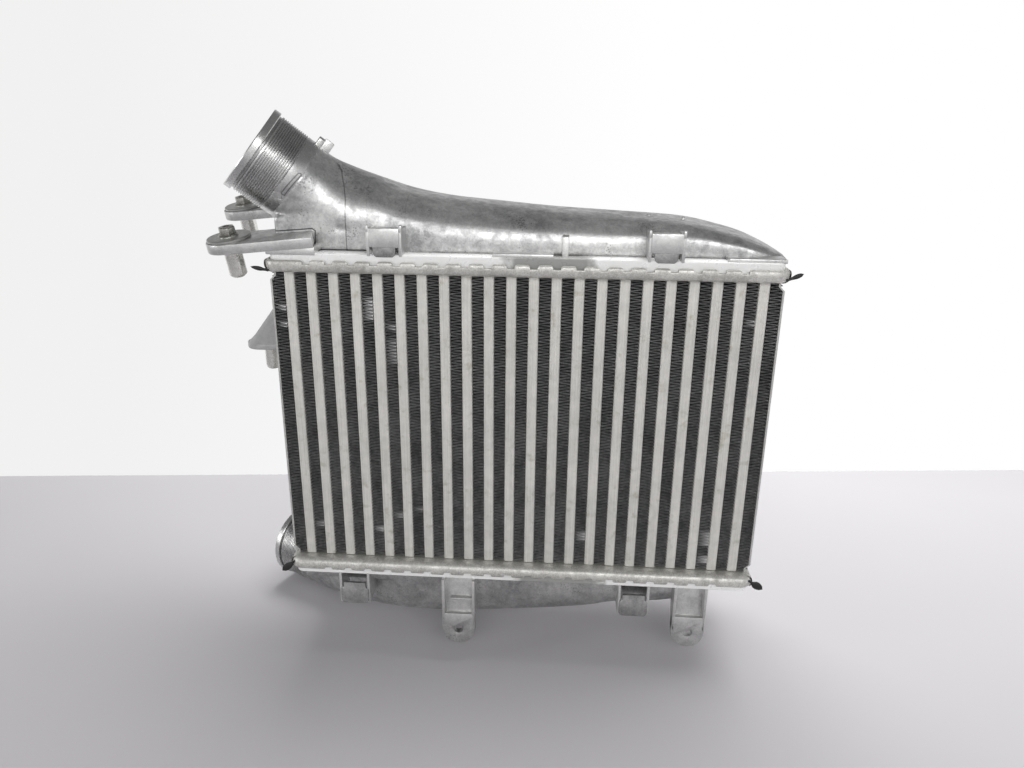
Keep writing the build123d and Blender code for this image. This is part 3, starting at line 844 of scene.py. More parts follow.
@dataclass
class Header:
    """A pressed pan round the ends of the tubes, with a row of crimp tabs folded over the foot."""

    side: Side
    half_length: float = 172.05
    half_width: float = 59.0
    corner: float = 9.0
    sheet: float = 1.6
    notch: float = 5.0
    seed: int = 5
    # Random draws of each kind, more than there are tabs
    draws: int = 80
    # Rows of a tab that are free to lean, between two heights over the bottom of the pan
    free_rows: range = range(6, 14)
    tab_base: float = 6.0
    tab_top: float = 9.0
    # Inset from the wall and height over the bottom of the pan, for a tab and for a notch
    tab_rows: tuple = ((5.2, 0.0), (3.4, 0.3), (1.9, 1.05), (0.8, 2.2), (0.15, 3.9), (0.0, 5.6),
                       (0.0, 7.0), (0.2, 7.9), (0.6, 8.6), (1.1, 8.95), (1.6, 9.0), (2.1, 8.7),
                       (2.2, 7.9), (1.8, 7.0), (1.6, 5.6), (1.6, 1.9))
    notch_rows: tuple = ((5.2, 0.0), (3.4, 0.3), (1.9, 1.05), (0.8, 2.2), (0.15, 3.9),
                         (0.0, 5.4), (0.05, 6.0), (0.25, 6.3), (0.5, 6.4), (0.8, 6.45),
                         (1.1, 6.45), (1.4, 6.35), (1.55, 6.1), (1.6, 5.9), (1.6, 5.2),
                         (1.6, 1.9))
    # Distance from a notch and how much lower the rounded end of the tab is there
    ends: tuple = ((0.0, 1.7), (0.35, 0.8), (0.9, 0.25), (1.8, 0.0))

    def stops(self, reach: float, centres: Sequence[float],
              tab: int) -> list[tuple[float, int, float]]:
        """List the places along one side of the pan.

        Args:
            reach: Half length of the straight side.
            centres: Middles of its notches.
            tab: Number of the tab at its start.

        Returns:
            Place along the side, tab number or 0 for a notch, and drop of the tab there.
        """
        found = [(-reach, tab, 0.0)]
        for centre in centres:
            left, right = centre - self.notch / 2, centre + self.notch / 2
            found += [(left - away, tab, drop) for away, drop in reversed(self.ends)]
            found += [(left, 0, 0.0), (right, 0, 0.0)]
            tab += 1
            found += [(right + away, tab, drop) for away, drop in self.ends]
        return found + [(reach, tab, 0.0)]

    def path(self) -> list[tuple[float, float, float, int, float]]:
        """Return the pan's outline as X, Y, normal angle, tab number and drop.

        Returns:
            The outline, anticlockwise from the right end.
        """
        fronts = [(i - (TUBE_COUNT - 1) / 2) * TUBE_PITCH for i in range(1, TUBE_COUNT - 1)]
        sides = [(i - 1.5) * 100.0 / 3 for i in range(4)]
        hx, hy, r = self.half_length, self.half_width, self.corner
        points = []
        tab = 1
        for quarter in range(4):
            angle = math.pi / 2 * quarter
            nx, ny = math.cos(angle), math.sin(angle)
            out, reach = (hx, hy - r) if quarter % 2 == 0 else (hy, hx - r)
            centres = sides if quarter % 2 == 0 else fronts
            for along, mark, drop in self.stops(reach, centres, tab):
                points.append((nx * out - ny * along, ny * out + nx * along, angle, mark, drop))
            tab += len(centres)
            cx, cy = (nx - ny) * (hx - r), (ny + nx) * (hy - r)
            for i in range(1, 6):
                turn = angle + math.pi / 2 * i / 6
                points.append((cx + r * math.cos(turn), cy + r * math.sin(turn), turn, tab, 0.0))
        return points

    def build(self) -> None:
        """Model the pan and put it in place of its solid."""
        chance = random.Random(self.seed)
        path = self.path()
        lift = [chance.uniform(-0.3, 0.05) for _ in range(self.draws)]
        lean = [chance.uniform(0.0, 0.35) for _ in range(self.draws)]
        free = self.tab_top - self.tab_base
        rings = []
        for row, (tab_row, notch_row) in enumerate(zip(self.tab_rows, self.notch_rows)):
            ring = []
            for x, y, angle, tab, drop in path:
                inset, height = tab_row if tab else notch_row
                if tab and row in self.free_rows:
                    height = (min(height, self.tab_top - drop)
                              + lift[tab] * (height - self.tab_base) / free)
                    inset += lean[tab] * (height - self.tab_base) / free
                place = (x - inset * math.cos(angle), y - inset * math.sin(angle) + CORE_MIDDLE)
                rough = noise.noise(Vector((x * 0.05, y * 0.05, row * 0.3 + self.seed)))
                ring.append(self.side.at(*place, CORE_HEIGHT + height + 0.12 * rough))
            rings.append(ring)
        pan = Bench.skin(f"{self.side.value}_header_pan", rings)
        Bench.dress(pan, HEADER, f"{self.side.value}_header", angle=38)
        LOG.info("%s header: %d points round the crimp", self.side.value, len(path))


@dataclass
class Section:
    """A cross section of a tank: its plane, its arch and its underside.

    The plane faces the flow, which is turned to the front and raised by two angles in degrees.
    The arch is a superellipse of the given power, and the underside is half an ellipse.
    """

    origin: Vector
    turn: float
    rise: float
    half_width: float
    height: float
    under: float
    power: float

    @staticmethod
    def heading(turn: float, rise: float) -> Vector:
        """Direction of the flow, to the left, turned to the front and raised by two angles."""
        t, r = math.radians(turn), math.radians(rise)
        return Vector((-math.cos(r) * math.cos(t), -math.cos(r) * math.sin(t), math.sin(r)))

    def ring(self, side: Side, inset: float, steps: int = 28) -> list[Vector]:
        """Return the outline, drawn in by an inset, as points on one side of the core.

        Args:
            side: The end of the core that the tank sits on.
            inset: How far the outline is drawn in, in millimetres.
            steps: Points on each half of the outline.

        Returns:
            The outline, in metres.
        """
        t = math.radians(self.turn)
        across = Vector((math.sin(t), -math.cos(t), 0.0))
        up = self.heading(self.turn, self.rise).cross(across)
        points = []
        for i in range(2 * steps):
            angle = math.pi * i / steps
            power = self.power if i <= steps else 2.0
            tall = self.height - inset if i <= steps else max(self.under - inset, 0.02)
            c, s = math.cos(angle), math.sin(angle)
            reach = (abs(c) ** power + abs(s) ** power) ** (-1 / power)
            place = (self.origin + across * ((self.half_width - inset) * reach * c)
                     + up * (tall * reach * s))
            points.append(side.at(*place))
        return points


def between(sections: Sequence[Section], steps: int = 6) -> list[Section]:
    """Fill smooth sections in between a few given ones.

    Args:
        sections: Sections in the order of the flow.
        steps: New sections for each gap.

    Returns:
        The finer list, which keeps the first and last section.
    """
    def blend(a: Vector | float, b: Vector | float, c: Vector | float, d: Vector | float,
              t: float) -> Vector | float:
        """Run a smooth curve from b to c, which a and d lead into and out of."""
        return 0.5 * (2 * b + (c - a) * t + (2 * a - 5 * b + 4 * c - d) * t * t
                      + (3 * b - 3 * c + d - a) * t ** 3)

    names = ("origin", "turn", "rise", "half_width", "height", "under", "power")
    finer = []
    last = len(sections) - 1
    for i in range(last):
        four = [sections[min(max(i + k, 0), last)] for k in (-1, 0, 1, 2)]
        for step in range(steps):
            finer.append(Section(*[blend(*[getattr(s, name) for s in four], step / steps)
                                   for name in names]))
    return finer + [sections[last]]


@dataclass
class Tank:
    """A cast tank: a swept body that turns into a round hose neck, on a milled foot."""

    side: Side
    # X, height, half width and power of each low section, from the right end to the elbow
    rows: tuple
    # Middle, turn, rise, half width, height and underside of the section before the neck
    elbow: tuple
    # Middle of the hose neck's mouth, and the turn and rise of its axis in degrees
    mouth: Point
    turn: float
    rise: float
    # Left end, right end and height of each step under the neck
    end_steps: tuple
    neck_radius: float = 29.2
    bore_radius: float = 25.7
    neck_length: float = 40.0
    wall: float = 3.5
    band_inset: float = 1.6

    def name(self, part: str) -> str:
        """Return the name of one of the tank's pieces."""
        return f"{self.side.value}_{part}"

    def outlet(self, depth: float) -> Vector:
        """Place on the neck's axis, some millimetres inside the mouth."""
        return Vector(self.mouth) - Section.heading(self.turn, self.rise) * depth

    def sections(self) -> list[Section]:
        """Return the sections from the low right end to the neck.

        Returns:
            The sections, of which the last three lead into the neck.
        """
        found = [Section(Vector((x, CORE_MIDDLE, FOOT_TOP - 1.0)), 0.0, 0.0, width, height + 1.0,
                         0.0, power) for x, height, width, power in self.rows]
        origin, turn, rise, width, height, under = self.elbow
        found.append(Section(Vector(origin), turn, rise, width, height, under, 2.0))
        for depth, r in ((self.neck_length + 10.0, self.neck_radius),
                         (self.neck_length - 6.0, self.neck_radius - 0.3)):
            found.append(Section(self.outlet(depth), self.turn, self.rise, r, r, r, 2.0))
        return found

    def body(self) -> bpy.types.Object:
        """Model the casting's body as one skin with soft fillets, and hollow it out.

        Returns:
            The hollow body, open at the neck.
        """
        fine = between(self.sections())
        shell = Bench.skin(self.name("tank_body"), [s.ring(self.side, 0.0) for s in fine])
        body = Bench.join([shell, self.end_form()])
        Bench.modify(body, "REMESH", mode="VOXEL", voxel_size=1.25 * MM)
        Bench.modify(body, "SMOOTH", factor=0.5, iterations=9)
        # The room starts four fine sections in from the right end, which leaves a wall there
        inner = Bench.skin("room", [s.ring(self.side, self.wall) for s in fine[4:]])
        bore = Bench.turned("bore", [(0.0, -60.0), (self.bore_radius, -60.0),
                                     (self.bore_radius, 10.0), (0.0, 10.0)],
                            self.neck_frame(), steps=64)
        return Bench.cut(body, inner, bore)

    def end_form(self) -> bpy.types.Object:
        """Low end of the tank under the neck.

        Returns:
            The blocks in one piece.
        """
        spot = self.side.at
        steps = self.end_steps + ((-130.0, -96.0, 14.0),)
        return Bench.join([Bench.block("end", spot(left, 8.0, FOOT_TOP - 1.0),
                                       spot(right, 92.0, FOOT_TOP + height), 2.5)
                           for left, right, height in steps])

    def neck_frame(self) -> Matrix:
        """Frame at the mouth, with Z out of the neck."""
        tip, inside = self.side.at(*self.mouth), self.side.at(*self.outlet(10.0))
        return frame_of(tip, Vector((0.0, -1.0, 0.2)), tip - inside)

    def neck(self) -> bpy.types.Object:
        """Model the turned neck: a lip, a groove, a ribbed land and a plain land.

        Returns:
            The neck.
        """
        profile = [(self.bore_radius, -44.0), (self.bore_radius, -1.2),
                   (self.bore_radius + 1.6, 0.0), (30.0, 0.0), (30.4, -0.5), (30.4, -4.6),
                   (30.1, -5.0), (28.4, -5.2), (28.4, -6.6), (29.3, -7.0)]
        depth = 7.6
        while depth < 27.0:
            profile += [(29.4, -depth), (29.4, -depth - 0.5), (28.6, -depth - 0.8),
                        (28.6, -depth - 1.15)]
            depth += 1.5
        profile += [(29.2, -depth - 0.3), (29.1, -34.0), (28.5, -36.0), (27.0, -44.0)]
        return Bench.turned(self.name("hose_neck"), profile, self.neck_frame(), steps=96,
                            hollow=True)

    def foot(self) -> bpy.types.Object:
        """Model the foot, with its milled band over the crimp tabs.

        Returns:
            The foot.
        """
        rings = []
        for inset, height in ((30.0, 220.6), (0.0, 220.6), (0.0, 221.6), (self.band_inset, 221.8),
                              (self.band_inset, 228.5), (self.band_inset + 0.5, FOOT_TOP),
                              (40.0, FOOT_TOP)):
            radius = max(FOOT_CORNER - inset, 0.5)
            rings.append([self.side.at(x, y + CORE_MIDDLE, height) for x, y, _ in
                          rounded(FOOT_HALF_LENGTH - inset, FOOT_HALF_WIDTH - inset, radius)])
        return Bench.skin(self.name("tank_foot"), rings)

    def loop(self, x: float, lift: float, height: float,
             tongue: bool = False) -> bpy.types.Object:
        """Model a clip loop.

        Args:
            x: Its middle, in core millimetres.
            lift: How far its plate starts above the foot.
            height: The plate's height.
            tongue: Whether a rounded tongue hangs from the plate over the foot.

        Returns:
            Two ribs with a plate and a lip across them, and the tongue and its horns if it has
            one.
        """
        base = FOOT_TOP + lift
        spot = self.side.at
        if tongue:
            plate = Bench.block("plate", spot(x - 10.2, -7.0, base),
                                spot(x + 10.2, -4.4, base + height), 0.7)
        else:
            outline = [(8.4, 0.0), (8.4, 4.6), (10.6, 5.6), (10.6, height - 2.6),
                       (9.8, height - 0.8), (8.2, height)]
            outline = [(px, -pz) for px, pz in outline + [(-px, pz) for px, pz in outline[::-1]]]
            plate = Bench.plate("plate", outline, 2.6,
                                Matrix.Translation(spot(x, -7.0, base)) @ FRONT_VIEW, 0.7)
        parts = [plate, Bench.block("lip", spot(x - 8.6, -5.4, base + height - 1.9),
                                    spot(x + 8.6, 1.0, base + height - 0.2), 0.6)]
        for s in (-1, 1):
            parts.append(Bench.block("rib", spot(x + s * 10.6 - 1.1, -6.2, FOOT_TOP - 1.0),
                                     spot(x + s * 10.6 + 1.1, 15.0, base + height - 0.4), 0.6))
        if tongue:
            parts += [Bench.block("horn", spot(x + s * 10.9 - 1.0, -6.4, base + height - 3.0),
                                  spot(x + s * 10.9 + 1.0, -2.6, base + height + 1.8), 0.6)
                      for s in (-1, 1)]
            outline = [(-7.6, 4.5), (-7.6, -3.0), (-7.0, -5.2), (-5.4, -6.4), (5.4, -6.4),
                       (7.0, -5.2), (7.6, -3.0), (7.6, 4.5)]
            parts.append(Bench.plate("tongue", outline, 2.2,
                                     Matrix.Translation(spot(x, -6.4, base)) @ FRONT_VIEW, 0.5))
        return Bench.join(parts)

    def build(self) -> None:
        """Model the tank and put it in place of its solid."""
        body = Bench.dress(self.body(), CAST, f"{self.side.value}_tank", angle=60)
        band = BAND_UPPER if self.side is Side.UPPER else BAND_LOWER
        Bench.dress(self.foot(), band, angle=30)
        Bench.dress(self.neck(), TURNED, angle=35)
        details = self.details()
        for part, piece in details.items():
            piece.name = piece.data.name = self.name(part)
            Bench.dress(piece, CAST, angle=40)
        LOG.info("%s tank: %d details, %d faces", self.side.value, len(details),
                 len(body.data.polygons))

    def details(self) -> dict[str, bpy.types.Object]:
        """Return the crisp cast details of the tank, by name."""
        return {}


@dataclass
class Arm:
    """An arm with a locating pin below its round end, held by a flange bolt and a washer."""

    name: str
    x: float
    y: float
    root: float = -137.0
    width: float = 31.0
    thickness: float = 6.9
    lean: float = 6.0
    pitch: float = 8.5
    # X and Y at which the upper face has its given height
    datum: tuple = (-198.0, 5.5)
    height: float = 236.0

    def frame(self, down: float = 0.0) -> Matrix:
        """Frame on the arm's upper face at its pin, some millimetres down the pin's axis.

        Args:
            down: Distance down the pin's axis, in millimetres.

        Returns:
            The matrix.
        """
        lean, pitch = math.tan(math.radians(self.lean)), math.tan(math.radians(self.pitch))
        z = (self.height + lean * (self.x - self.datum[0])
             + pitch * (self.y - self.datum[1]))
        normal = Vector((-lean, -pitch, 1.0)).normalized()
        return frame_of(at(self.x, self.y, z) - normal * down * MM, Vector((1.0, 0.0, lean)),
                        normal)

    def bar(self) -> bpy.types.Object:
        """Model the arm itself.

        Returns:
            The arm.
        """
        half = self.width / 2
        outline = [(half * math.cos(a), half * math.sin(a)) for a in
                   [math.pi / 2 + math.pi * i / 20 for i in range(21)]]
        end = self.root - self.x
        outline += [(end, -half), (end - 4.0, 2.5), (end - 4.0, half)]
        return Bench.plate(f"{self.name}_arm", outline, -self.thickness, self.frame(), 0.7)

    def fittings(self) -> list[tuple[bpy.types.Object, Finish, str]]:
        """Model the pin, the washer and the bolt, each with its finish.

        Returns:
            Each piece, its finish and the node that it stands for.
        """
        pin = Bench.turned(f"{self.name}_pin",
                           [(0.0, -19.6), (3.6, -19.6), (4.2, -19.5), (5.7, -18.2), (6.0, -17.6),
                            (6.0, -0.6), (6.0, 0.0), (0.0, 0.0)], self.frame(self.thickness))
        washer = Bench.turned(f"{self.name}_washer",
                              [(3.4, 0.0), (14.2, 0.0), (14.5, 0.3), (14.5, 1.6), (14.0, 2.0),
                               (3.4, 2.0)], self.frame(), steps=64, hollow=True)
        flange = Bench.turned(f"{self.name}_bolt",
                              [(0.0, 2.0), (6.8, 2.0), (6.8, 2.5), (6.2, 3.1), (5.2, 3.5),
                               (0.0, 3.5)], self.frame(), steps=40)
        corner = 5.0 / math.cos(math.pi / 6)
        rings = []
        for reach, height in ((0.0, 3.0), (corner, 3.0), (corner, 7.7), (corner * 0.9, 8.4),
                              (2.6, 8.4), (2.3, 7.9), (0.0, 7.9)):
            rings.append([self.frame() @ Vector((reach * MM * math.cos(math.pi / 3 * i),
                                                 reach * MM * math.sin(math.pi / 3 * i),
                                                 height * MM)) for i in range(6)])
        head = Bench.soften(Bench.skin("head", rings), 0.25)
        return [(pin, STEEL, f"{self.name}_locating_pin"), (washer, WASHER, "pin_washers"),
                (Bench.join([flange, head]), PLATED, "pin_bolts")]


@dataclass
class UpperTank(Tank):
    """The upper tank, with two arms, two clip loops, a rib, pads and a lug on its neck."""

    arms: tuple = (Arm("front", -198.0, 5.5), Arm("rear", -222.0, 95.0))
    loop_places: tuple = (-90.5, 92.0)

    def details(self) -> dict[str, bpy.types.Object]:
        """Return the arms, loops, pads, rib, lug and mark of the upper tank.

        Returns:
            The pieces, by name.
        """
        tip, inside = at(*self.mouth), at(*self.outlet(10.0))
        seat = frame_of(tip, Vector((0.0, 0.0, 1.0)), tip - inside)
        lug = Bench.join([
            Bench.plate("lug", [(27.0, -3.6), (35.6, -3.6), (35.6, 3.6), (27.0, 3.6)], -6.6,
                        seat @ Matrix.Translation((0, 0, -36.4 * MM)), 0.5),
            Bench.plate("step", [(27.0, -4.4), (33.2, -4.4), (34.4, -3.0), (34.4, 1.6),
                                 (27.0, 1.6)], -4.2,
                        seat @ Matrix.Translation((0, 0, -32.4 * MM)), 0.5)])
        blocks = [Bench.block("block", at(-169.6, y - 12.5, FOOT_TOP - 1.0),
                              at(-136.6, y + 12.5, FOOT_TOP + 4.4), 0.7)
                  for y in (5.6, 92.0)]
        rib = Bench.plate("rib", [(3.5, FOOT_TOP - 1.0), (5.6, FOOT_TOP + 12.6),
                                  (6.6, FOOT_TOP + 13.4), (14.0, FOOT_TOP + 13.4),
                                  (14.0, FOOT_TOP - 1.0)], 4.4,
                          Matrix.Translation(at(25.3, 0, 0)) @ SIDE_VIEW, 0.5)
        pads = [Bench.block("pad", at(x - half, -4.0, FOOT_TOP - 0.5),
                            at(x + half, 12.0, FOOT_TOP + 2.2), 0.5)
                for x, half in ((0.0, 20.0), (150.5, 18.5))]
        found = {"front_arm": self.arms[0].bar(), "rear_arm": self.arms[1].bar(), "neck_lug": lug,
                 "front_rib": rib, "middle_pad": pads[0], "end_pad": pads[1],
                 "front_arm_block": blocks[0], "rear_arm_block": blocks[1]}
        found["crown_nubs"] = Bench.join([
            Bench.turned("nub", [(0.0, -3.0), (1.6, -3.0), (1.6, 0.6), (1.1, 1.1), (0.0, 1.1)],
                         frame_of(at(x, 46.0, z), Vector((1, 0, 0)), Vector((0, 0, 1))), steps=16)
            for x, z in ((84.6, 251.8), (108.2, 250.2))])
        for place, word in zip(self.loop_places, ("left", "right")):
            found[f"{word}_clip_loop"] = self.loop(place, 5.0, 12.5, tongue=True)
        return found

    def build(self) -> None:
        """Model the tank, then its pins, washers and bolts."""
        super().build()
        for arm in self.arms:
            for piece, finish, node in arm.fittings():
                Bench.dress(piece, finish, node, angle=30)
            LOG.info("%s arm: a pin, a washer and a bolt", arm.name)


@dataclass
class Ear:
    """A mounting ear: a rounded tab with a hole, on two ribs that rise to the foot."""

    name: str
    x: float
    y: float
    hole: float = -54.8
    half_width: float = 12.5
    thickness: float = 6.0
    tab_top: float = -41.8
    bar: float = -30.2
    ledge: bool = True

    def build(self) -> bpy.types.Object:
        """Model the ear in one piece.

        Returns:
            The ear.
        """
        facing = frame_of(at(self.x, self.y, self.hole), Vector((1, 0, 0)), Vector((0, 1, 0)))
        w = self.half_width
        rise = self.hole - self.tab_top
        outline = [(w * math.cos(a), w * math.sin(a)) for a in
                   [math.pi * i / 20 for i in range(21)]]
        outline += [(-w, rise), (w, rise)]
        tab = Bench.plate(self.name, outline, self.thickness, facing)
        drill = Bench.turned("drill", [(0, -2), (3.3, -2), (3.3, 8), (0, 8)], facing, steps=32)
        Bench.cut(tab, drill)
        Bench.soften(tab, 0.8)
        ribs = []
        for s in (-1, 1):
            left = self.x + s * (w - 1.2) - 1.2
            ribs.append(Bench.plate(
                "rib", [(self.y, -12.5), (self.y, self.hole + 2), (self.y + 6.0, self.hole + 2),
                        (15.0, self.tab_top + 10), (15.0, -12.5)], 2.4,
                Matrix.Translation(at(left, 0, 0)) @ SIDE_VIEW, 0.7))
        parts = [tab] + ribs
        parts.append(Bench.block("sill", at(self.x - w + 1, self.y + 0.15, self.tab_top - 1.6),
                                 at(self.x + w - 1, self.y + 6.0, self.tab_top + 0.6), 0.7))
        parts.append(Bench.plate(
            "web", [(self.y + 3.0, self.tab_top - 1.0), (self.y + 5.5, self.tab_top - 1.0),
                    (14.0, -20.0), (14.0, -12.5), (self.y + 8.0, -12.5),
                    (self.y + 7.0, self.bar)],
            2 * w - 2.0, Matrix.Translation(at(self.x - w + 1.0, 0, 0)) @ SIDE_VIEW, 0.4))
        if self.ledge:
            parts.append(Bench.block("ledge", at(self.x - 6.0, self.y + 3.0, self.bar - 1.2),
                                     at(self.x + w - 1.5, self.y + 10.0, self.bar + 1.0), 0.7))
        return Bench.join(parts)


@dataclass
class LowerTank(Tank):
    """The lower tank, with two mounting ears and two clip loops."""

    ears: tuple = (Ear("left_ear", -44.5, -10.0), Ear("right_ear", 129.5, -1.0, ledge=False))
    loop_places: tuple = (-124.0, 86.5)

    def details(self) -> dict[str, bpy.types.Object]:
        """Return the ears and loops of the lower tank.

        Returns:
            The pieces, by name.
        """
        found = {ear.name: ear.build() for ear in self.ears}
        for place, word in zip(self.loop_places, ("left", "right")):
            found[f"{word}_clip_loop"] = self.loop(place, 7.0, 18.0)
        return found


@dataclass
class FinPack:
    """The folded fins: one strip, copied between the tubes, with the dents of use."""

    folds: int = 89
    length: float = 213.6
    sheet: float = 0.26
    # Fin strip, height up the core, half height of the dent, and how far it bends
    dents: tuple = ((4, 191.5, 8.6, 1.0), (5, 179.0, 2.0, 0.8), (5, 161.5, 9.6, 0.6),
                    (0, 191.0, 2.0, 1.0), (0, 179.4, 2.4, 0.9), (21, 188.3, 3.3, 0.7),
                    (4, 23.5, 2.3, 1.0), (1, 25.3, 1.9, 0.6), (5, 35.2, 2.3, 0.5),
                    (6, 40.7, 2.3, 0.5), (14, 24.0, 3.9, 0.8), (20, 25.7, 6.4, 0.8),
                    (20, 9.1, 3.1, 1.0))
    # Depths behind the front face that the waves, the dents and their painted highlight reach
    wave_depth: float = 6.0
    dent_depth: float = 2.6
    highlight_depth: float = 2.4
    # How far a full dent lays the front edges down and out
    dent_drop: float = 2.4
    dent_push: float = 0.5

    def strip(self) -> bpy.types.Object:
        """Model one strip at the middle of the core, from one fold.

        Returns:
            The strip.
        """
        pitch = self.length / self.folds
        half = FIN_WIDTH / 2 - 0.12
        base = (CORE_HEIGHT - self.length) / 2
        fold = ((-half, 0.0), (-half + 0.35, 0.09), (half - 0.35, 0.41), (half, 0.5),
                (half - 0.35, 0.59), (-half + 0.35, 0.91), (-half, 1.0))
        depths = (0.3, 1.0, 2.2, 5.0, 12.0, 99.7)
        rings = [[at(x, depth, base + share * pitch) for depth in depths] for x, share in fold]
        strip = Bench.skin("fin_strip", rings, fill=False, open_rings=True)
        Bench.modify(strip, "ARRAY", count=self.folds, use_relative_offset=False,
                     use_constant_offset=True, constant_offset_displace=(0, 0, pitch * MM),
                     use_merge_vertices=True, merge_threshold=1e-6)
        return Bench.modify(strip, "SOLIDIFY", thickness=self.sheet * MM, offset=0.0)

    def bend(self, strip: bpy.types.Object, number: int) -> None:
        """Wave a strip's front edges a little, lay its dents over and paint a highlight on them.

        Args:
            strip: The strip, in its place.
            number: Its place from the left, from 0.
        """
        mark = strip.data.attributes.new("dent_highlight", "FLOAT", "POINT")
        dents = [d for d in self.dents if d[0] == number]
        middle = (number - TUBE_COUNT / 2) * TUBE_PITCH
        front = at(0, 0, 0).y
        for index, vertex in enumerate(strip.data.vertices):
            depth = (vertex.co.y - front) / MM
            height = vertex.co.z / MM - DATUM.z
            across = vertex.co.x / MM - DATUM.x - middle
            inner = max(0.0, 1 - (across / (FIN_WIDTH / 2)) ** 2)
            near = max(0.0, 1 - depth / self.wave_depth)
            lip = max(0.0, 1 - depth / self.dent_depth)
            wave = noise.noise(Vector((number * 3.1, height * 0.09, 0.0)))
            ripple = noise.noise(Vector((number * 5.3, height * 0.8, across * 0.3)))
            vertex.co.z += near * inner * (0.55 * wave + 0.35 * ripple) * MM
            vertex.co.y += near * inner * (0.25 + 0.3 * ripple) * MM
            # Painted highlight on the bent front edges, kept in an attribute of the mesh
            dent_highlight = 0.0
            for _, place, reach, strength in dents:
                share = min(1.0, 2.5 * max(0.0, 1 - ((height - place) / reach) ** 2))
                lateral = min(1.0, 2.0 * max(0.0, 1 - abs(across - 0.6) / 3.6))
                amount = strength * share * lateral
                vertex.co.z -= lip * amount * self.dent_drop * MM
                vertex.co.y -= lip * amount * self.dent_push * MM
                if depth < self.highlight_depth:
                    dent_highlight = max(dent_highlight, amount * (0.8 + 0.6 * abs(ripple)))
            mark.data[index].value = min(1.0, 2.5 * dent_highlight)

    def build(self) -> None:
        """Model the strips in place of their solids."""
        pattern = self.strip()
        for number in range(TUBE_COUNT + 1):
            offset = Vector(((number - TUBE_COUNT / 2) * TUBE_PITCH * MM, 0, 0))
            strip = Bench.copy(pattern, f"folded_fins_{number + 1:02d}", offset)
            self.bend(strip, number)
            Bench.dress(strip, FIN, f"fin_strip_{number + 1:02d}", angle=30)
        bpy.data.objects.remove(pattern)
        LOG.info("fins: %d strips of %d folds", TUBE_COUNT + 1, self.folds)


@dataclass
class TubeRow:
    """The flat tubes, with broad flat noses that carry two drawn lines."""

    half_thickness: float = 3.62
    half_depth: float = 50.0
    radius: float = 1.5
    wall: float = 0.5
    corner_steps: int = 4
    # Distance of each drawn line from the middle of the nose
    line: float = 1.7

    def ring(self, inset: float, height: float) -> list[Vector]:
        """Return the outline of the middle tube, drawn in by an inset, at a height.

        Args:
            inset: How far the outline is drawn in, in millimetres.
            height: Its height up the core, in millimetres.

        Returns:
            The outline, in metres.
        """
        half_x, half_y = self.half_thickness - inset, self.half_depth - inset
        points = [(x, y) for x, y, _ in rounded(half_x, half_y, self.radius - inset,
                                                self.corner_steps)]
        drawn = []
        for s in (-1, 1):
            middle = s * self.line
            drawn += [(middle - 0.35, -half_y), (middle, -half_y + 0.16),
                      (middle + 0.35, -half_y)]
        front = 3 * (self.corner_steps + 1)
        points = points[:front] + drawn + points[front:]
        return [at(x, y + CORE_MIDDLE, height) for x, y in points]

    def build(self) -> None:
        """Model one tube and copy it along the row in place of the solids."""
        pattern = Bench.skin("tube", [self.ring(0.0, 0.4), self.ring(0.0, CORE_HEIGHT - 0.4),
                                      self.ring(self.wall, CORE_HEIGHT - 0.4),
                                      self.ring(self.wall, 0.4), self.ring(0.0, 0.4)],
                             fill=False)
        for number in range(TUBE_COUNT):
            offset = (number - (TUBE_COUNT - 1) / 2) * TUBE_PITCH * MM
            tube = Bench.copy(pattern, f"flat_tube_{number + 1:02d}", Vector((offset, 0, 0)))
            Bench.dress(tube, TUBE, f"tube_{number + 1:02d}", angle=30)
        bpy.data.objects.remove(pattern)
        LOG.info("tubes: %d flat tubes", TUBE_COUNT)


@dataclass
class Gasket:
    """A rubber ring between a header and its tank, with a pull tab at each front corner."""

    side: Side
    # Start, end, half widths and flatness of each pull tab
    tabs: tuple

    def tab(self, start: Point, end: Point, widths: Sequence[float],
            flat: float) -> bpy.types.Object:
        """Model a pull tab as a row of flat rings from its neck to its end.

        Args:
            start: Where it leaves the crimp, in core millimetres.
            end: The far end.
            widths: Half widths along it.
            flat: Its thickness as a share of its width.

        Returns:
            The tab.
        """
        a, b = at(*start), at(*end)
        frame = frame_of(a, Vector((0, 0, 1)), b - a)
        length = (b - a).length
        rings = []
        for i, half in enumerate(widths):
            along = length * i / (len(widths) - 1)
            rings.append([frame @ Vector((half * MM * math.cos(t),
                                          max(half * flat, 0.6 if half > 0.3 else half) * MM
                                          * math.sin(t), along))
                          for t in [2 * math.pi * k / 20 for k in range(20)]])
        return Bench.skin("tab", rings)

    def build(self) -> None:
        """Model the ring and its tabs in place of the solid."""
        rings = []
        for inset, height in ((0.0, 1.6), (5.2, 1.6), (5.2, 4.6), (0.0, 4.6), (0.0, 1.6)):
            rings.append([self.side.at(x, y + CORE_MIDDLE, CORE_HEIGHT + height) for x, y, _ in
                          rounded(FOOT_HALF_LENGTH - inset, FOOT_HALF_WIDTH - inset,
                                  FOOT_CORNER - inset)])
        ring = Bench.skin("ring", rings, fill=False)
        pieces = [ring] + [self.tab(*tab) for tab in self.tabs]
        whole = Bench.join(pieces)
        whole.name = whole.data.name = f"{self.side.value}_gasket_ring"
        Bench.dress(whole, RUBBER, f"{self.side.value}_gasket", angle=50)
        LOG.info("%s gasket: a ring and %d pull tabs", self.side.value, len(self.tabs))


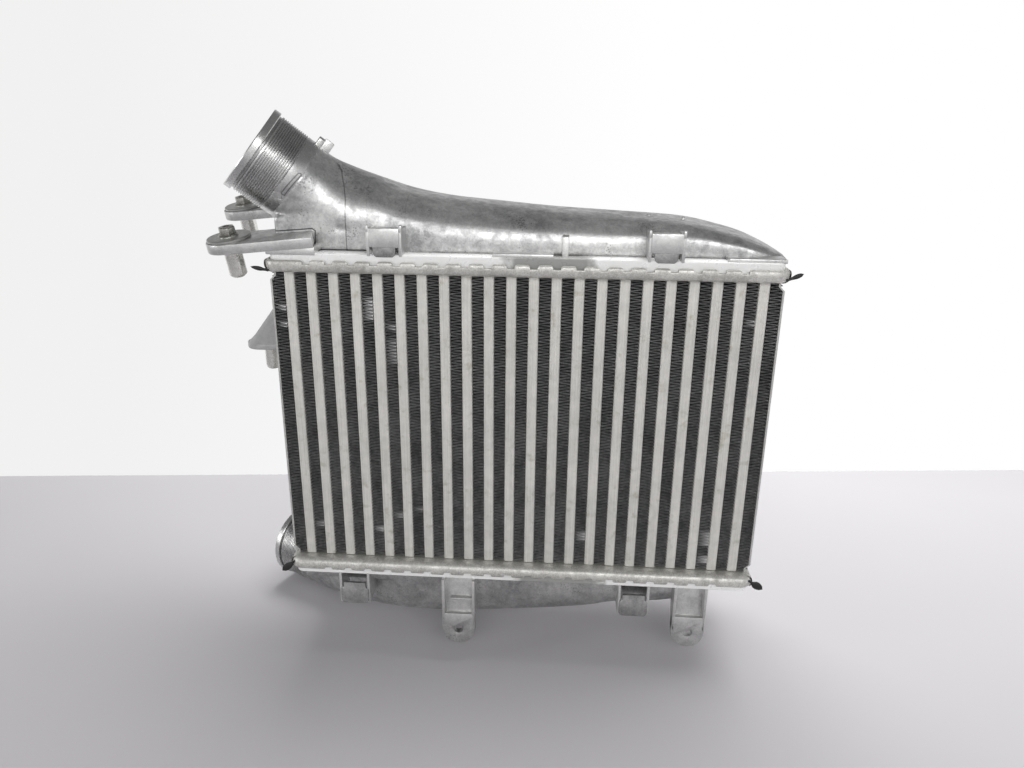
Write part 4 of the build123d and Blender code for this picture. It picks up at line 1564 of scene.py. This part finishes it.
@dataclass
class SideBracket:
    """A bracket on the left side plate: back, shelf, front gusset and a pin under the shelf."""

    face: float = -170.4
    base: float = 143.5
    height: float = 57.0
    reach: float = 40.0
    width: float = 22.0

    def build(self) -> None:
        """Model the bracket and its pin."""
        half = self.width / 2
        back = Bench.block("side_bracket_plate",
                           at(self.face - 2.6, CORE_MIDDLE - half, self.base),
                           at(self.face, CORE_MIDDLE + half, self.base + self.height), 0.6)
        under, over = self.base + 4.5, self.base + 9.5
        flat = frame_of(at(self.face - self.reach + half, CORE_MIDDLE, under),
                        Vector((1, 0, 0)), Vector((0, 0, 1)))
        outline = [(half * math.cos(a), half * math.sin(a)) for a in
                   [math.pi / 2 + math.pi * i / 16 for i in range(17)]]
        outline += [(self.reach - half, -half), (self.reach - half, half)]
        shelf = Bench.plate("shelf", outline, over - under, flat, 0.9)
        upright = Matrix(((1, 0, 0, 0), (0, 0, -1, 0), (0, 1, 0, 0), (0, 0, 0, 1)))
        gusset = Bench.plate("gusset", [(self.face - 0.5, under + 1),
                                        (self.face - 0.5, self.base + self.height - 4),
                                        (self.face - 2.6, self.base + self.height - 4),
                                        (self.face - 30.4, self.base + 16.5),
                                        (self.face - 35.5, over + 2.0),
                                        (self.face - 35.5, under + 1.5),
                                        (self.face - 34.5, under + 0.5)], 5.5,
                             Matrix.Translation(at(0, 44.6, 0)) @ upright, 1.0)
        bracket = Bench.join([back, shelf, gusset])
        bracket.name = bracket.data.name = "left_side_bracket"
        Bench.dress(bracket, BRACKET, "side_bracket", angle=40)
        seat = frame_of(at(self.face - 22.5, CORE_MIDDLE, under), Vector((1, 0, 0)),
                        Vector((0, 0, 1)))
        pin = Bench.turned("left_side_pin", [(0, -17.2), (2.6, -17.2), (4.0, -16.6), (5.0, -15.2),
                                             (5.4, -13.4), (5.4, 0), (3, 0), (3, 4), (0, 4)], seat,
                           steps=40)
        Bench.dress(pin, STEEL, "side_pin", angle=30)
        LOG.info("side bracket: %.0f mm tall, with its pin", self.height)


@dataclass
class Studio:
    """A pale table in front of plain white, soft lamps and the camera."""

    position: Point = (0.069005, -0.496892, 0.370465)
    right: Point = (0.99787, 0.06432, 0.01063)
    up: Point = (-0.03097, 0.32424, 0.94547)
    lens: float = 27.34
    # Two places on the far edge of the table
    edge: tuple = ((-0.572, 0.281), (0.639, 0.403))
    table_size: float = 12.0
    # Strength of the surroundings low down and overhead, as they light the part
    low_level: float = 0.8
    high_level: float = 0.18
    # Strength of the white behind the part, at its left and at its right
    backdrop_left: float = 0.88
    backdrop_right: float = 1.0
    # How much brighter the surroundings are mirrored in metal, as a share
    mirror_gain: float = 0.2

    def camera(self) -> None:
        """Place the camera."""
        data = bpy.data.cameras.new("view")
        data.lens = self.lens
        data.sensor_width = 36.0
        data.clip_start = 0.01
        eye = bpy.data.objects.new("view", data)
        bpy.context.scene.collection.objects.link(eye)
        right, up = Vector(self.right), Vector(self.up)
        eye.matrix_world = (Matrix.Translation(self.position)
                            @ Matrix((right, up, right.cross(up))).transposed().to_4x4())
        bpy.context.scene.camera = eye

    def lamp(self, name: str, place: Point, target: Point, size: tuple[float, float],
             power: float, mirrored: bool = True) -> None:
        """Hang a soft rectangular lamp that faces a target, and may show in the metal.

        Args:
            name: The lamp's name.
            place: Where it hangs, in metres.
            target: The place that it faces.
            size: Its width and height, in metres.
            power: Its power, in watts.
            mirrored: Whether it shows in the metal.
        """
        data = bpy.data.lights.new(name, "AREA")
        data.shape = "RECTANGLE"
        data.size, data.size_y = size
        data.energy = power
        lamp = bpy.data.objects.new(name, data)
        lamp.visible_glossy = mirrored
        bpy.context.scene.collection.objects.link(lamp)
        away = Vector(target) - Vector(place)
        lamp.matrix_world = Matrix.Translation(place) @ away.to_track_quat(
            "-Z", "Y").to_matrix().to_4x4()

    def table_finish(self) -> bpy.types.Material:
        """Return the matt table, with painted light that makes it paler towards its far edge, its
        near edge and the right.

        Returns:
            The material.
        """
        made = bpy.data.materials.new("pale_table")
        made.use_nodes = True
        tree = made.node_tree
        tree.nodes.clear()
        where = add_node(tree, "ShaderNodeTexCoord").outputs["Object"]
        # Painted light: the colour grows paler towards the far edge, the near edge and the right,
        # with a little random tone
        share = add_node(tree, "ShaderNodeVectorMath", {1: (0.22, 0.85, 0.0)}, {0: where},
                         operation="DOT_PRODUCT").outputs[1]
        cloud = add_node(tree, "ShaderNodeTexNoise", {"Scale": 5.0, "Detail": 2.0},
                         {"Vector": where})
        shifted = add_node(tree, "ShaderNodeMath", {1: 0.06}, {0: cloud.outputs["Fac"],
                                                               2: share},
                           operation="MULTIPLY_ADD")
        folded = add_node(tree, "ShaderNodeMath", {1: 0.36}, {0: shifted.outputs[0]},
                          operation="ADD")
        apart = add_node(tree, "ShaderNodeMath", operation="ABSOLUTE",
                         links={0: folded.outputs[0]})
        painted_light_ramp = add_node(tree, "ShaderNodeMapRange",
                        {"From Min": 0.06, "From Max": 0.78, "To Min": 0.0, "To Max": 1.0},
                        {"Value": apart.outputs[0]})
        colour = add_node(tree, "ShaderNodeMix", data_type="RGBA",
                          values={6: linear("#adabae"), 7: linear("#dfdde0")},
                          links={0: painted_light_ramp.outputs[0]})
        shader = add_node(tree, "ShaderNodeBsdfDiffuse", links={"Color": colour.outputs[2]})
        # Far from the part the table fades into the white round it
        distance = add_node(tree, "ShaderNodeVectorMath", links={0: where},
                            operation="LENGTH").outputs[1]
        far = add_node(tree, "ShaderNodeMapRange",
                       {"From Min": 0.85, "From Max": 1.9, "To Min": 0.0, "To Max": 1.0},
                       {"Value": distance})
        path = add_node(tree, "ShaderNodeLightPath")
        seen = add_node(tree, "ShaderNodeMath", operation="MAXIMUM",
                        links={0: path.outputs["Is Camera Ray"],
                               1: path.outputs["Is Glossy Ray"]})
        fade = add_node(tree, "ShaderNodeMath", operation="MULTIPLY",
                        links={0: far.outputs[0], 1: seen.outputs[0]})
        white = add_node(tree, "ShaderNodeEmission", {"Strength": 0.9})
        mixed = add_node(tree, "ShaderNodeMixShader",
                         links={0: fade.outputs[0], 1: shader.outputs[0], 2: white.outputs[0]})
        add_node(tree, "ShaderNodeOutputMaterial", links={"Surface": mixed.outputs[0]})
        return made

    def stand(self, floor_height: float) -> None:
        """Set up the table, whose far edge meets the white behind it.

        Args:
            floor_height: Height of the part's lowest point, in metres.
        """
        left, right = (Vector((x, y, floor_height)) for x, y in self.edge)
        along = (right - left).normalized()
        front = Vector((along.y, -along.x, 0.0))
        Bench.rest()
        bpy.ops.mesh.primitive_plane_add(size=self.table_size)
        turned = Matrix((along, front, along.cross(front))).transposed().to_4x4()
        middle = Matrix.Translation((left + right) / 2 + front * self.table_size / 2)
        table = Bench.settle("table", middle @ turned)
        table.data.materials.append(self.table_finish())
        table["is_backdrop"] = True

    def surround(self) -> None:
        """Light the scene from all round, and show plain white behind the part."""
        world = bpy.data.worlds.new("studio")
        bpy.context.scene.world = world
        world.use_nodes = True
        tree = world.node_tree
        tree.nodes.clear()
        where = add_node(tree, "ShaderNodeTexCoord").outputs["Generated"]
        across, _, height = add_node(tree, "ShaderNodeSeparateXYZ", links={0: where}).outputs
        shade = add_node(tree, "ShaderNodeMapRange",
                         {"From Min": 0.12, "From Max": 0.5, "To Min": self.low_level,
                          "To Max": self.high_level}, {"Value": height})
        path = add_node(tree, "ShaderNodeLightPath")
        # Mirrored in metal, the surroundings are a fifth brighter: low down near the white behind
        mirrored = add_node(tree, "ShaderNodeMath", operation="MAXIMUM",
                            links={0: path.outputs["Is Glossy Ray"],
                                   1: path.outputs["Is Transmission Ray"]})
        gain = add_node(tree, "ShaderNodeMath", {1: self.mirror_gain, 2: 1.0},
                        {0: mirrored.outputs[0]}, operation="MULTIPLY_ADD")
        level = add_node(tree, "ShaderNodeMath", operation="MULTIPLY",
                         links={0: shade.outputs[0], 1: gain.outputs[0]})
        backdrop = add_node(tree, "ShaderNodeMapRange",
                            {"From Min": -0.5, "From Max": 0.1, "To Min": self.backdrop_left,
                             "To Max": self.backdrop_right}, {"Value": across})
        seen = add_node(tree, "ShaderNodeMath", operation="MULTIPLY",
                        links={0: path.outputs["Is Camera Ray"], 1: backdrop.outputs[0]})
        strength = add_node(tree, "ShaderNodeMath", operation="MAXIMUM",
                            links={0: seen.outputs[0], 1: level.outputs[0]})
        light = add_node(tree, "ShaderNodeBackground", {"Color": (1, 1, 1, 1)},
                         {"Strength": strength.outputs[0]})
        add_node(tree, "ShaderNodeOutputWorld", links={"Surface": light.outputs[0]})

    def build(self, floor_height: float) -> None:
        """Set up the stage, the lamps, the world and the camera.

        Args:
            floor_height: Height of the part's lowest point, in metres.
        """
        self.stand(floor_height)
        self.lamp("window", (0.25, -1.45, 0.95), (0.0, 0.0, 0.25), (1.5, 0.45), 9.5)
        self.lamp("left_window", (-1.5, -0.6, 0.6), (-0.1, 0.0, 0.25), (0.4, 0.9), 3.5)
        self.lamp("ceiling", (0.3, 0.5, 1.5), (0.15, 0.3, 0.0), (1.6, 0.7), 24.0, False)
        self.surround()
        bpy.context.scene.view_settings.view_transform = "Standard"
        self.camera()


# Low sections of the tanks
UPPER_ROWS = ((173.0, 1.5, 37.0, 3.4), (155.0, 9.6, 41.5, 4.4), (136.0, 15.0, 42.0, 5.0),
              (109.0, 20.5, 42.0, 4.6), (62.0, 24.0, 42.0, 3.4), (20.0, 26.4, 42.0, 3.2),
              (-20.0, 30.0, 42.0, 2.9), (-58.0, 33.6, 42.0, 3.0), (-90.0, 40.2, 41.6, 3.2))
LOWER_ROWS = ((173.0, 1.5, 37.0, 3.4), (149.0, 5.0, 41.0, 4.0), (134.0, 20.0, 42.0, 4.0),
              (112.0, 28.5, 42.0, 4.0), (74.0, 32.8, 42.0, 4.0), (50.0, 38.5, 42.0, 4.0),
              (17.0, 43.0, 42.0, 4.0), (-30.0, 47.5, 42.0, 4.0), (-65.0, 49.5, 42.0, 4.0),
              (-98.0, 50.0, 41.0, 3.6))
# Pull tabs of the gaskets, at the left and at the right
UPPER_TABS = (((-168.5, -6.4, 217.4), (-180.2, -7.0, 219.7),
               (0.9, 0.8, 1.0, 1.4, 1.5, 1.3, 0.9, 0.1), 0.7),
              ((168.5, -6.4, 218.3), (178.8, -7.0, 223.0),
               (0.9, 0.8, 0.9, 1.2, 1.5, 1.5, 1.2, 0.1), 0.7))
LOWER_TABS = (((-168.5, -6.4, -3.4), (-178.6, -7.4, -11.8),
               (0.9, 0.8, 1.6, 2.5, 2.8, 2.7, 2.0, 0.1), 0.4),
              ((168.6, -6.4, -3.2), (179.2, -7.4, -9.4),
               (0.9, 0.8, 1.4, 2.8, 3.1, 2.8, 2.0, 0.1), 0.4))


def main() -> None:
    """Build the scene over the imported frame."""
    logging.basicConfig(level=logging.INFO, format="%(name)s: %(message)s")
    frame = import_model()
    solid_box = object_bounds()
    Studio().build(min(solid_box[0][2], solid_box[1][2]))
    kept = (("side_plate_", PLATE), ("turbulators", FIN))
    for name, node in frame["nodes"].items():
        for start, finish in kept:
            if name.startswith(start):
                for slot in node.material_slots:
                    slot.material = finish.material()
    UpperTank(Side.UPPER, UPPER_ROWS, elbow=((-126.0, 44.0, 249.0), 9.0, 19.0, 36.5, 32.5, 20.0),
              mouth=(-184.9, 22.0, 294.7), turn=20.0, rise=38.3,
              end_steps=((-168.2, -125.0, 23.0), (-158.0, -127.0, 29.0),
                         (-149.0, -130.0, 34.0))).build()
    LowerTank(Side.LOWER, LOWER_ROWS, elbow=((-132.0, 66.0, 255.0), -14.0, -1.5, 38.0, 34.0, 25.0),
              mouth=(-206.3, 110.0, 268.8), turn=-28.0, rise=-3.0,
              end_steps=((-167.2, -125.0, 14.0),)).build()
    for side in Side:
        Header(side, seed=5 if side is Side.UPPER else 9).build()
    Gasket(Side.UPPER, UPPER_TABS).build()
    Gasket(Side.LOWER, LOWER_TABS).build()
    TubeRow().build()
    FinPack().build()
    SideBracket().build()


if __name__ == "__main__":
    main()
